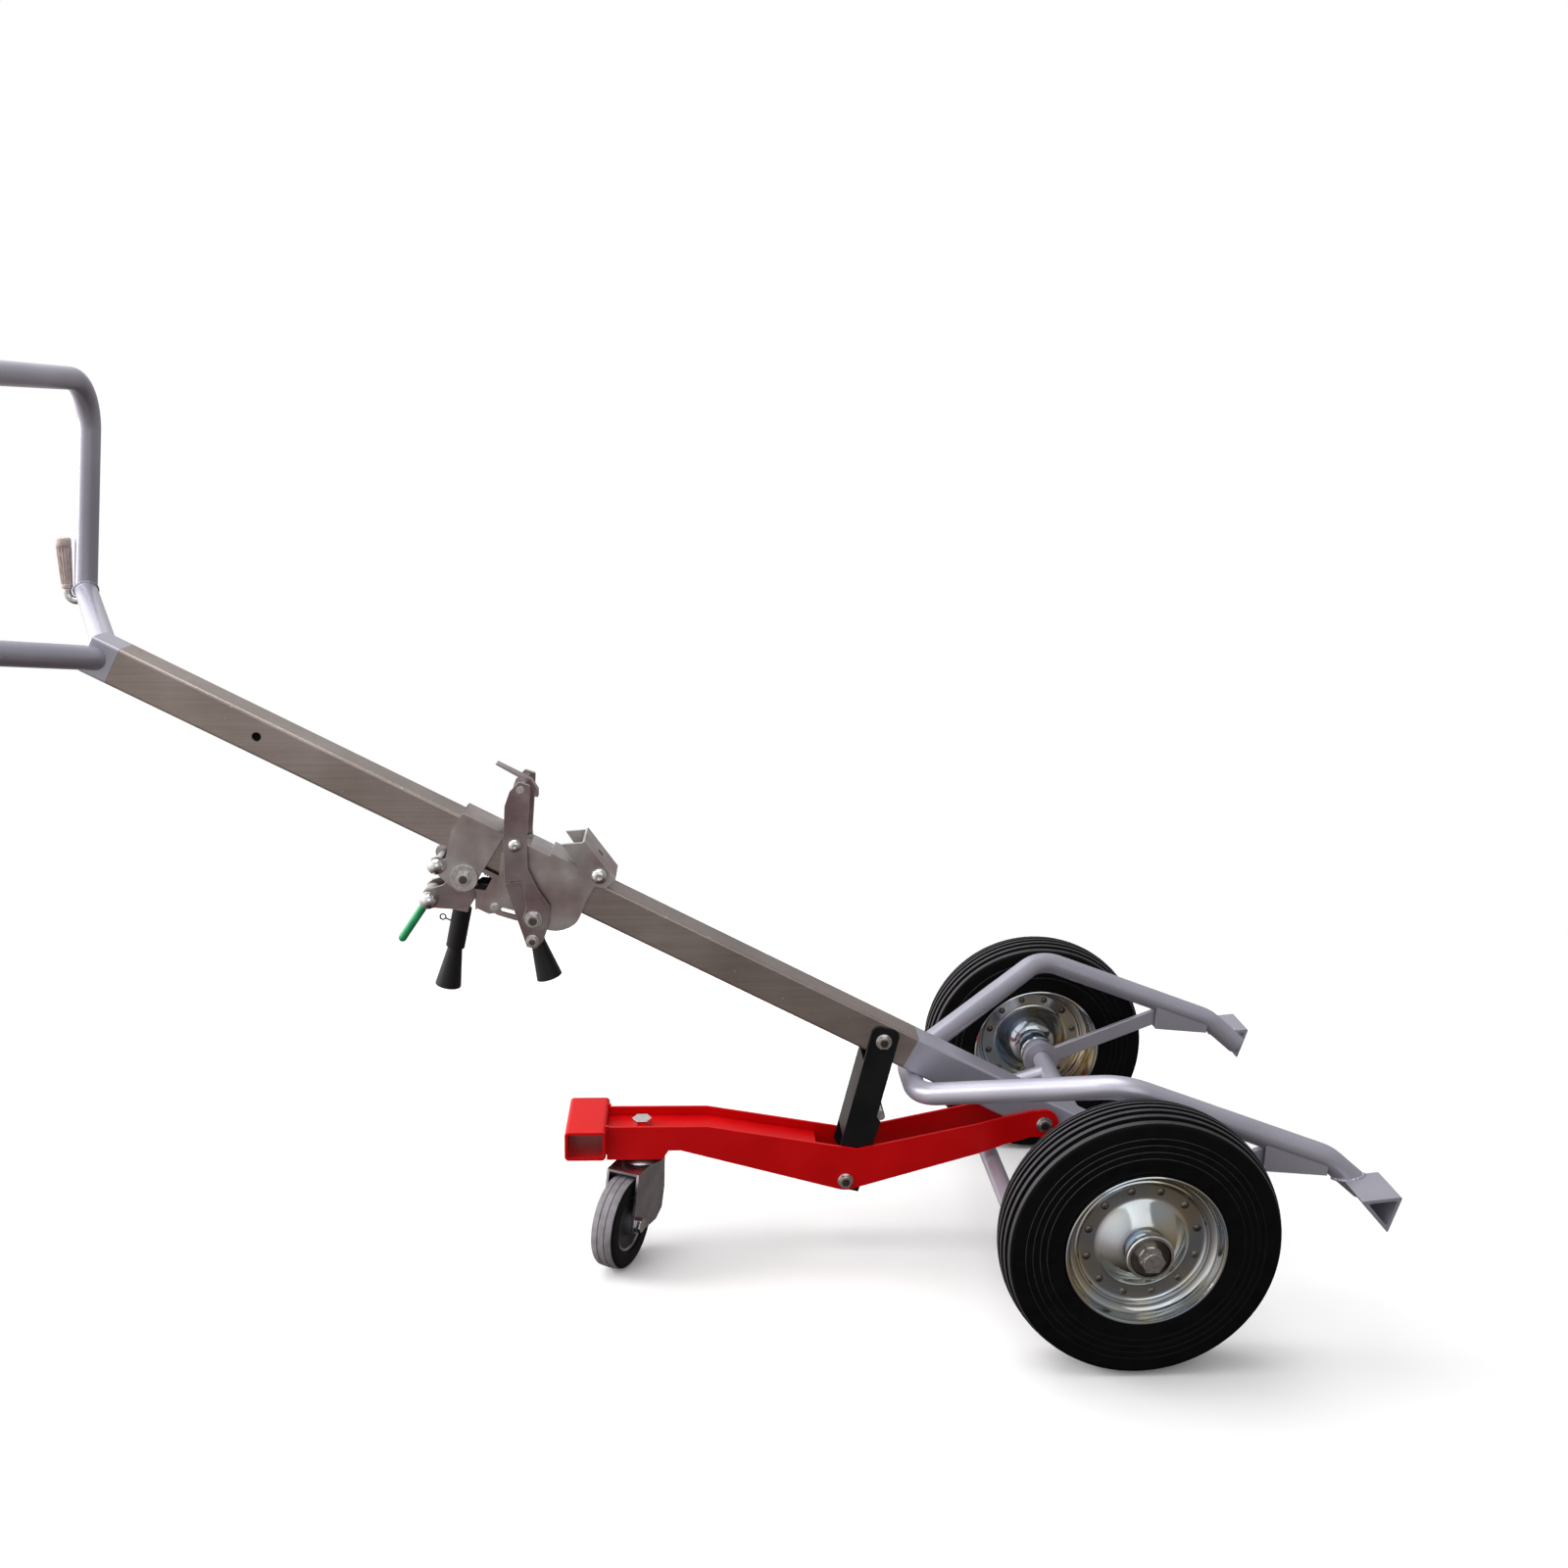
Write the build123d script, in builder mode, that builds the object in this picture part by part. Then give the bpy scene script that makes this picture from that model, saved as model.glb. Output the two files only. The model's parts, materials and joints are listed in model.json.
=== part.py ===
from build123d import *
import os
from math import cos, radians, sin, sqrt, tan

# Tilting drum truck: a square mast with a handle loop, a drum cradle, two wheels,
# a fold-down castor stand and a rim clamp that slides on the mast.
# Millimetres, +Z up, +X from the handle towards the feet, floor at Z = 0.

# Driving dimensions: wheels and axle
wheel_d = 250.0
tyre_w = 50.0
tyre_shoulder = 7.0
tread_crown = 1.5
rim_d = 138.0
rim_lip_t = 3.0
rim_lip_out = 2.3
bead_w = 8.0
disc_t = 2.5
disc_joint = 8.0
dome_out = 21.5
dome_in = -12.0
dome_w = 16.0
hub_d = 38.0
hub_over = 8.0
half_track = 211.0
axle_d = 20.0
collar_d = 32.0
collar_t = 6.0
axle_cap_d = 42.0
axle_cap_t = 4.0
axle_bolt_flats = 19.0
axle_bolt_t = 8.0
rivet_circle_d = 100.0
rivet_count = 12
rivet_start = 15.0
rivet_d = 6.0
rivet_head_d = 9.6
rivet_head_t = 2.0

# Driving dimensions: mast, post and head
mast_angle = 27.0
mast_size = 35.0
mast_wall = 2.5
mast_corner = 3.0
mast_drop = 3.5
post_low = -32.0
post_top = 198.0
mast_top = 1026.0
head_length = 27.0
spigot_length = 90.0
spigot_corner = 1.0
mast_hole_at = 888.0
mast_hole_d = 8.5

# Driving dimensions: bent tubes
tube_d = 22.0
tube_wall = 2.0
elbow_behind_head = 94.8
elbow_above_head = 39.0
handle_lean = 22.0
handle_height = 209.0
handle_half_width = 200.0
handle_bend = 50.0
cradle_inset = 49.0
cradle_bend = 45.0
cradle_cross_along = 179.0
cradle_cross_half = 40.0
cradle_seat = 1.0
cradle_shoulder_behind = 8.6
cradle_shoulder_rise = 119.2
cradle_knee_ahead = 186.0
cradle_slope = 20.0
cradle_end_slope = 40.0
cradle_end_run = 48.0
foot_bar_d = 18.0
foot_bar_back = 90.0
foot_bar_drop = 31.0
foot_bar_inset = 34.0
foot_bar_bend = 30.0

# Driving dimensions: feet, gussets and braces
foot_outset = 2.0
foot_length = 46.0
foot_wall = 3.0
foot_points = ((-22.77, 12.5), (14.23, 16.5), (4.23, -18.5))
gusset_width = 20.0
gusset_wall = 2.5
gusset_length = 59.0
gusset_inset = 2.0
gusset_depth = 19.0
pocket_length = 34.0
brace_t = 6.0
brace_depth = 17.0
brace_eye_d = 40.0
brace_reach = 20.0

# Driving dimensions: peg with ribbed grip on the left elbow
peg_d = 8.0
peg_grip_d = 15.0
peg_grip_taper = 2.0
peg_height = 62.0

# Driving dimensions: castor stand, with the M8 bolts of its linkage
bolt_d = 8.0
bolt_flats = 13.0
bolt_head_t = 5.5
plate_t = 3.0
stand_inner_half = 21.0
web_t = 3.0
web_set_down = 9.0
web_below_edge = 2.0
stand_depth = 35.0
step_height = 9.5
step_start = 55.0
step_slope = 6.0
step_run = 12.0
pivot_along = 41.0
pivot_across = -8.0
ear_radius = 15.0
ear_run = 12.0
ear_trim = 1.0
joggle_start = 40.0
joggle_length = 26.0
pedal_back = 477.0
pedal_width = 40.0
pedal_height = 30.0
pedal_length = 78.0
pedal_wall = 3.0
pedal_corner = 4.0
pedal_rise = 2.0
flat_run = 99.0
knee_back = 239.0
knee_height = 78.0
knee_radius = 25.0
knee_below = 11.5
knee_above = 34.0
knee_crest_ahead = 11.0
web_start = 29.0
strut_along = 229.0
strut_width = 28.0
strut_corner = 8.0
strut_gap = 0.5
strut_t = 2.5
strut_tail = 11.0
strut_toe = 5.0
strut_toe_at = 84.0
strut_web_top = 25.0
strut_web_low = 108.0
strut_mouth_angle = 43.5
mouth_clearance = 1.4
latch_d = 8.0
latch_at = 78.0
latch_block = 6.0

# Driving dimensions: castor
castor_inset = 34.0
castor_headroom = 38.5
castor_d = 90.0
castor_w = 25.0
castor_round = 5.0
castor_core_d = 56.0
castor_trail = 44.0
castor_turn = 25.0
castor_axle_d = 8.0
castor_boss_d = 22.0
kingpin_d = 12.0
kingpin_flats = 17.0
kingpin_head_t = 7.5
rivet_plate_d = 15.0
rivet_plate_t = 3.0
fork_t = 2.5
fork_room = 2.5
fork_over = 4.0
fork_bowl_d = 48.0
fork_bowl_h = 4.5
fork_cup_d = 38.0
fork_cup_h = 11.0
head_cup_d = 40.0
leg_front = 41.0
leg_rear = -17.0
leg_outline = ((-16.0, -40.0), (-10.0, -60.0), (3.0, -66.5), (24.0, -65.0))
leg_end_r = 9.0

# Driving dimensions: rim clamp, its places given along and across from its middle
clamp_along = 620.0
saddle_t = 3.0
lever_t = 3.0
hook_t = 3.5
toe_t = 2.5
clamp_round = 1.5
lever_pin = (44.0, -38.0)
roller_pin = (72.0, -38.0)
rod_pin = (64.0, -73.0)
hook_pin = (-31.0, -43.0)
toe_pin = (-40.0, -64.0)
claw_pin = (35.0, 64.0)
jaw_pin = (-67.0, 22.5)
ear_pin = (6.0, -51.0)
lever_root = (36.0, -60.0)
lever_grip_tip = (11.0, -150.0)
hook_grip_tip = (-72.0, -98.0)
release_tip = (70.0, -126.0)
upper_roof = (30.0, 71.0)
lower_roof = (-54.0, 3.0)
doubler_end = -18.0
link_span = (2.0, 62.0)
link_gap = 1.5
link_t = 4.0
link_cheek_in = 13.0
lever_washer_d = 26.0
washer_d = 17.0
washer_t = 2.0
toe_bolt_d = 6.0
toe_flats = 10.0
ear_bolt_d = 5.0
ear_flats = 7.0
ear_head_t = 2.5
dome_d = 17.0
dome_seat = 3.0
socket_depth = 14.0
socket_length = 12.0
grip_core_d = 10.0
grip_sleeve_d = 18.0
grip_cone_length = 40.0
grip_neck_d = 13.6
grip_end_d = 25.0
release_d = 8.0
release_boss_d = 16.0
release_boss_half = 8.0
hook_grip_neck_d = 14.0
hook_grip_boss_d = 17.0
hook_grip_boss_half = 9.0
hook_grip_neck = 10.0
claw_half_width = 5.0

# Fits
slide_fit = 0.5
run_fit = 0.05
hole_fit = 0.1
side_gap = 0.3
weld_gap = 0.2
inner_corner = 0.4

# Sizes worked out from the driving dimensions
tilt = radians(mast_angle)
wheel_r = wheel_d / 2
tube_r = tube_d / 2
axle_z = wheel_r
cradle_half_width = half_track - cradle_inset
foot_bar_half_width = cradle_half_width - foot_bar_inset
foot_inner_y = cradle_half_width + foot_outset
mast_half = mast_size / 2
mast_under = -mast_drop - mast_half
mast_over = -mast_drop + mast_half
hex_of = 1 / sqrt(3)
head_top = mast_top + head_length
head_along = head_top - mast_half
head_back = head_along * cos(tilt) + mast_drop * sin(tilt)
head_height = axle_z + head_along * sin(tilt) - mast_drop * cos(tilt)
elbow_back = head_back + elbow_behind_head
elbow_height = head_height + elbow_above_head
end_slope = radians(cradle_end_slope)
cradle_end_ahead = cradle_knee_ahead + cradle_end_run * cos(end_slope)
handle_reach = elbow_back + tube_r + peg_grip_d
foot_reach = cradle_end_ahead + foot_points[1][0]
axle_x = (handle_reach - foot_reach) / 2


def side_plane(y):
    """Upright plane at y: first axis back from the axle, second axis up from the floor."""
    return Plane(origin=(axle_x, y, 0), x_dir=(-1, 0, 0), z_dir=(0, 1, 0))


def mast_plane(y):
    """Plane at y: first axis up along the mast from the axle, second axis across it."""
    return Plane(origin=(axle_x, y, axle_z), x_dir=(-cos(tilt), 0, sin(tilt)), z_dir=(0, 1, 0))


def plan_plane(height):
    """Level plane facing down: first axis back from the axle, second axis to the left side."""
    return Plane(origin=(axle_x, 0, height), x_dir=(-1, 0, 0), z_dir=(0, 0, -1))


def cross_section(along):
    """Plane square to the mast axis at a distance from the axle."""
    centre = mast_plane(0).from_local_coords((along, -mast_drop, 0))
    return Plane(origin=centre, x_dir=(0, 1, 0), z_dir=(-cos(tilt), 0, sin(tilt)))


def behind(point):
    """Mast coordinates turned into back-from-axle and height coordinates."""
    spot = mast_plane(0).from_local_coords((point[0], point[1], 0))
    return (axle_x - spot.X, spot.Z)


def from_axle(ahead, y, height):
    """World point from a distance ahead of the axle, a side offset and a height."""
    return Vector(axle_x + ahead, y, height)


def rod(plane, centre, radius, start, end, mode=Mode.ADD):
    """Round bar along Y between two side offsets, at a centre on the given family of planes."""
    spot = plane(0).from_local_coords((centre[0], centre[1], 0))
    with Locations(Plane(origin=(spot.X, start, spot.Z), z_dir=(0, 1, 0))):
        Cylinder(radius, end - start, align=(Align.CENTER, Align.CENTER, Align.MIN), mode=mode)


def hexagon(plane, centre, across_flats, start, end):
    """Hexagonal head or nut along Y between two side offsets."""
    with BuildSketch(plane(start)) as outline:
        with Locations(centre):
            RegularPolygon(across_flats * hex_of, 6)
    extrude(outline.sketch, amount=end - start)


def cross_bolt(plane, centre, diameter, grip_half, across_flats, head_t, ring_d=0.0):
    """Bolt along Y with equal hexagons on both sides, outside a grip of the given half length."""
    reach = grip_half + (washer_t if ring_d else 0.0)
    rod(plane, centre, diameter / 2, -reach - head_t, reach + head_t)
    for side in (-1, 1):
        if ring_d:
            rod(plane, centre, ring_d / 2, *sorted((side * grip_half, side * reach)))
        hexagon(plane, centre, across_flats, side * reach, side * (reach + head_t))


def plate(plane, points, start, end, round_by=0.0):
    """Flat plate between two side offsets, with all corners rounded by the given radius."""
    with BuildSketch(plane(start)) as outline:
        with BuildLine():
            Polyline(*points, close=True)
        make_face()
        if round_by:
            fillet(outline.vertices(), round_by)
    extrude(outline.sketch, amount=end - start)


def cut_plate(plane, points, start, end):
    """Cut a straight-sided hole between two side offsets."""
    with BuildSketch(plane(start)) as outline:
        with BuildLine():
            Polyline(*points, close=True)
        make_face()
    extrude(outline.sketch, amount=end - start, mode=Mode.SUBTRACT)


def square_tube(start, end, outer, wall, corner):
    """Square tube along the mast between two distances from the axle."""
    with BuildSketch(cross_section(start)) as section:
        RectangleRounded(outer, outer, corner)
        inner = outer - 2 * wall
        RectangleRounded(inner, inner, max(corner - wall, inner_corner), mode=Mode.SUBTRACT)
    extrude(section.sketch, amount=end - start)


def square_bar(start, end, outer, corner, mode=Mode.ADD):
    """Solid square bar along the mast, used for spigots and for cutting tube ends."""
    with BuildSketch(cross_section(start)) as section:
        RectangleRounded(outer, outer, corner)
    extrude(section.sketch, amount=end - start, mode=mode)


def bent_tube(path, outer, wall):
    """Round tube swept along a wire."""
    with BuildSketch(Plane(origin=path @ 0, z_dir=path % 0)) as section:
        Circle(outer / 2)
        if wall:
            Circle(outer / 2 - wall, mode=Mode.SUBTRACT)
    sweep(section.sketch, path=path)


def write(piece, name):
    """Label the piece and write its file."""
    piece.part.label = name
    export_step(piece.part, "parts/" + name + ".step")


os.makedirs("parts", exist_ok=True)
sides = (("right", -1), ("left", 1))
strut_top = behind((strut_along, -mast_drop))
stand_pivot = behind((pivot_along, pivot_across))
knee = (knee_back, knee_height)

# Base post, painted, carried by the axle
with BuildPart() as base_post:
    square_tube(post_low, post_top, mast_size, mast_wall, mast_corner)
    rod(mast_plane, (0, 0), axle_d / 2 + hole_fit, -mast_size, mast_size, Mode.SUBTRACT)
    rod(mast_plane, (pivot_along, pivot_across), bolt_d / 2 + hole_fit, -mast_size, mast_size, Mode.SUBTRACT)
write(base_post, "base_post")

# Mast, plated square tube with one cross hole and the strut bolt hole
with BuildPart() as mast:
    square_tube(post_top, mast_top, mast_size, mast_wall, mast_corner)
    rod(mast_plane, (mast_hole_at, -mast_drop), mast_hole_d / 2, -mast_size, mast_size, Mode.SUBTRACT)
    rod(mast_plane, (strut_along, -mast_drop), bolt_d / 2 + hole_fit, -mast_size, mast_size, Mode.SUBTRACT)
write(mast, "mast")

# Head, painted, closing the upper end of the mast
with BuildPart() as head_post:
    square_tube(mast_top, head_top - mast_wall, mast_size, mast_wall, mast_corner)
    square_bar(head_top - mast_wall, head_top, mast_size, mast_corner)
write(head_post, "head_post")

# Spigots inside the two tube joints
spigot_size = mast_size - 2 * mast_wall - 2 * hole_fit
spigot_half = spigot_length / 2
with BuildPart() as mast_spigots:
    square_tube(post_top - spigot_half, post_top + spigot_half, spigot_size, mast_wall, spigot_corner)
    square_tube(mast_top - spigot_half, head_top - mast_wall, spigot_size, mast_wall, spigot_corner)
    rod(mast_plane, (strut_along, -mast_drop), bolt_d / 2 + hole_fit, -mast_size, mast_size, Mode.SUBTRACT)
write(mast_spigots, "mast_spigots")

# Handle loop: one bent bar between two elbows
elbow = {}
handle_corner = {}
for side_name, side in sides:
    elbow[side] = from_axle(-elbow_back, side * handle_half_width, elbow_height)
    handle_corner[side] = elbow[side] + Vector(handle_lean, 0, handle_height)
head_joint = from_axle(-head_back, 0, head_height)


def elbow_mitre(side):
    """Plane that halves the corner between a handle leg and its splay tube, facing the leg."""
    leg = (handle_corner[side] - elbow[side]).normalized()
    splay = (head_joint - elbow[side]).normalized()
    return Plane(origin=elbow[side], z_dir=leg - splay)


with BuildPart() as handle_bar:
    with BuildLine() as handle_path:
        tails = {}
        for side_name, side in sides:
            drop = (elbow[side] - handle_corner[side]).normalized() * tube_d
            tails[side] = elbow[side] + drop
        FilletPolyline(tails[-1], handle_corner[-1], handle_corner[1], tails[1], radius=handle_bend)
    bent_tube(handle_path.wire(), tube_d, tube_wall)
    for side_name, side in sides:
        with Locations(elbow_mitre(side)):
            Box(
                4 * tube_d,
                4 * tube_d,
                3 * tube_d,
                align=(Align.CENTER, Align.CENTER, Align.MAX),
                mode=Mode.SUBTRACT,
            )
write(handle_bar, "handle_bar")

for side_name, side in sides:
    with BuildPart() as splay_tube:
        with BuildLine() as splay_path:
            reach = (elbow[side] - head_joint).normalized() * tube_d
            Line(head_joint, elbow[side] + reach)
        bent_tube(splay_path.wire(), tube_d, tube_wall)
        split(bisect_by=elbow_mitre(side), keep=Keep.BOTTOM)
        square_bar(mast_top - mast_size, head_top, mast_size, mast_corner, Mode.SUBTRACT)
        split(bisect_by=Plane.XZ.offset(-side * hole_fit), keep=Keep.BOTTOM if side > 0 else Keep.TOP)
    write(splay_tube, side_name + "_splay_tube")

# Peg with a ribbed grip behind the left elbow
peg_back = elbow_back + tube_r + peg_grip_d / 2
peg_low = elbow_height - tube_r
with BuildPart() as grip_peg:
    with BuildLine() as peg_path:
        FilletPolyline(
            from_axle(-elbow_back, handle_half_width, peg_low),
            from_axle(-peg_back, handle_half_width, peg_low),
            from_axle(-peg_back, handle_half_width, peg_low + peg_height),
            radius=peg_d,
        )
    bent_tube(peg_path.wire(), peg_d, 0)
    add(handle_bar.part, mode=Mode.SUBTRACT)
    add(splay_tube.part, mode=Mode.SUBTRACT)
peg_piece = grip_peg.part.solids().sort_by(Axis.X)[0]
with BuildPart() as grip_peg:
    add(peg_piece)
write(grip_peg, "grip_peg")

peg_grip_low = peg_low + peg_d + peg_d / 2
with BuildPart() as peg_grip:
    with BuildSketch(Plane.XY.offset(peg_grip_low)) as grip_foot:
        with Locations((axle_x - peg_back, handle_half_width)):
            Circle(peg_grip_d / 2 - peg_grip_taper)
            Circle(peg_d / 2 + hole_fit, mode=Mode.SUBTRACT)
    with BuildSketch(Plane.XY.offset(peg_low + peg_height)) as grip_crown:
        with Locations((axle_x - peg_back, handle_half_width)):
            Circle(peg_grip_d / 2)
            Circle(peg_d / 2 + hole_fit, mode=Mode.SUBTRACT)
    loft([grip_foot.sketch, grip_crown.sketch])
    with Locations((axle_x - peg_back, handle_half_width, peg_low + peg_height)):
        Cylinder(peg_grip_d / 2, peg_grip_taper, align=(Align.CENTER, Align.CENTER, Align.MIN))
write(peg_grip, "peg_grip")

# Cradle: one bent tube from foot to foot, crossing under the base post
run_drop = tan(radians(cradle_slope))
shoulder_height = axle_z + cradle_shoulder_rise
knee_drop = (cradle_knee_ahead + cradle_shoulder_behind) * run_drop
cross = behind((cradle_cross_along, mast_under - tube_r + cradle_seat))
end_height = shoulder_height - knee_drop - cradle_end_run * sin(end_slope)
foot_outline = [(-cradle_end_ahead - ahead, end_height + rise) for ahead, rise in foot_points]


def cradle_points(side):
    """Corners of one half of the cradle tube, from under the post to its lower end."""
    width = side * cradle_half_width
    middle = from_axle(-cross[0], side * cradle_cross_half, cross[1])
    shoulder = from_axle(-cradle_shoulder_behind, width, shoulder_height)
    low_knee = from_axle(cradle_knee_ahead, width, shoulder_height - knee_drop)
    low_end = from_axle(cradle_end_ahead, width, end_height)
    return middle, shoulder, low_knee, low_end


with BuildPart() as cradle_tube:
    with BuildLine() as cradle_path:
        FilletPolyline(*reversed(cradle_points(-1)), *cradle_points(1), radius=cradle_bend)
    bent_tube(cradle_path.wire(), tube_d, tube_wall)
    square_bar(post_low, mast_top, mast_size, mast_corner, Mode.SUBTRACT)
    for side_name, side in sides:
        ends = sorted((side * foot_inner_y, side * (foot_inner_y + foot_length)))
        cut_plate(side_plane, foot_outline, *ends)
with BuildPart() as cradle_space:
    bent_tube(cradle_path.wire(), tube_d, 0)
cradle_piece = cradle_tube.part.solids().sort_by(SortBy.VOLUME)[-1]
with BuildPart() as cradle_tube:
    add(cradle_piece)
write(cradle_tube, "cradle_tube")

# Feet: triangular hollow sections across the lower ends of the cradle
for side_name, side in sides:
    ends = sorted((side * foot_inner_y, side * (foot_inner_y + foot_length)))
    with BuildPart() as foot:
        with BuildSketch(side_plane(ends[0])) as foot_section:
            with BuildLine():
                Polyline(*foot_outline, close=True)
            make_face()
            offset(amount=-foot_wall, kind=Kind.INTERSECTION, mode=Mode.SUBTRACT)
        extrude(foot_section.sketch, amount=ends[1] - ends[0])
    write(foot, side_name + "_foot")

# Gussets under the cradle runs, open towards the wheels, and the brace bars from the axle
gusset_end = cradle_knee_ahead - gusset_inset
gusset_start = gusset_end - gusset_length
run_start = shoulder_height - (gusset_start + cradle_shoulder_behind) * run_drop
run_end = shoulder_height - (gusset_end + cradle_shoulder_behind) * run_drop
run_under = tube_r / cos(radians(cradle_slope))
gusset_low = run_start - run_under - gusset_depth
pocket_low = gusset_low + gusset_wall
wedge = (
    (-gusset_start, run_start),
    (-gusset_end, run_end),
    (-gusset_end, run_end - run_under - gusset_wall),
    (-gusset_start, gusset_low),
)
pocket = (
    (-gusset_start + gusset_wall, pocket_low),
    (-gusset_start + gusset_wall, run_start),
    (-gusset_start - pocket_length, run_start),
    (-gusset_start - pocket_length, pocket_low),
)
bar_half = brace_depth / 2
tip_back = -gusset_start - brace_reach
tip_height = pocket_low + bar_half + hole_fit
brace_bar = (
    (0.0, axle_z - bar_half),
    (-gusset_start, tip_height - bar_half),
    (tip_back, tip_height - bar_half),
    (tip_back, tip_height + bar_half),
    (-gusset_start, tip_height + bar_half),
    (0.0, axle_z + bar_half),
)
for side_name, side in sides:
    centre_y = side * cradle_half_width
    with BuildPart() as gusset:
        plate(side_plane, wedge, centre_y - gusset_width / 2, centre_y + gusset_width / 2)
        inner_half = gusset_width / 2 - gusset_wall
        cut_plate(side_plane, pocket, centre_y - inner_half, centre_y + inner_half)
        add(cradle_space.part, mode=Mode.SUBTRACT)
    write(gusset, side_name + "_gusset")

    with BuildPart() as brace:
        start = centre_y - brace_t / 2
        end = centre_y + brace_t / 2
        plate(side_plane, brace_bar, start, end)
        rod(side_plane, (0.0, axle_z), brace_eye_d / 2, start, end)
        rod(side_plane, (0.0, axle_z), axle_d / 2 + hole_fit, start - brace_t, end + brace_t, Mode.SUBTRACT)
        add(cradle_space.part, mode=Mode.SUBTRACT)
    write(brace, side_name + "_brace")

# Axle through the base post and both braces
hub_half = tyre_w / 2 + hub_over
hub_out = half_track + hub_half
hub_in = half_track - hub_half
with BuildPart() as axle:
    rod(side_plane, (0.0, axle_z), axle_d / 2, -hub_out - side_gap, hub_out + side_gap)
    for side in (-1, 1):
        collar = sorted((side * (hub_in - side_gap), side * (hub_in - side_gap - collar_t)))
        rod(side_plane, (0.0, axle_z), collar_d / 2, *collar)
write(axle, "axle")

with BuildPart() as axle_caps:
    for side in (-1, 1):
        face = side * (hub_out + side_gap)
        outer = side * (hub_out + side_gap + axle_cap_t)
        rod(side_plane, (0.0, axle_z), axle_cap_d / 2, *sorted((face, outer)))
        hexagon(side_plane, (0.0, axle_z), axle_bolt_flats, outer, outer + side * axle_bolt_t)
write(axle_caps, "axle_caps")

# Foot bar behind the wheels, welded to the axle
with BuildPart() as foot_bar:
    with BuildLine() as foot_bar_path:
        FilletPolyline(
            from_axle(0, -foot_bar_half_width, axle_z),
            from_axle(-foot_bar_back, -foot_bar_half_width, axle_z - foot_bar_drop),
            from_axle(-foot_bar_back, foot_bar_half_width, axle_z - foot_bar_drop),
            from_axle(0, foot_bar_half_width, axle_z),
            radius=foot_bar_bend,
        )
    bent_tube(foot_bar_path.wire(), foot_bar_d, tube_wall)
    rod(side_plane, (0.0, axle_z), axle_d / 2, -half_track, half_track, Mode.SUBTRACT)
foot_bar_piece = foot_bar.part.solids().sort_by(SortBy.VOLUME)[-1]
with BuildPart() as foot_bar:
    add(foot_bar_piece)
write(foot_bar, "foot_bar")

# Fixed bolts of the stand linkage
ear_out = mast_half + side_gap + plate_t + side_gap
strut_inner = mast_half + strut_gap
strut_outer = strut_inner + strut_t
strut_bolt = (strut_along, -mast_drop)
with BuildPart() as linkage_bolts:
    cross_bolt(mast_plane, (pivot_along, pivot_across), bolt_d, ear_out, bolt_flats, bolt_head_t)
    cross_bolt(mast_plane, strut_bolt, bolt_d, strut_outer + side_gap, bolt_flats, bolt_head_t)
write(linkage_bolts, "linkage_bolts")

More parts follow.
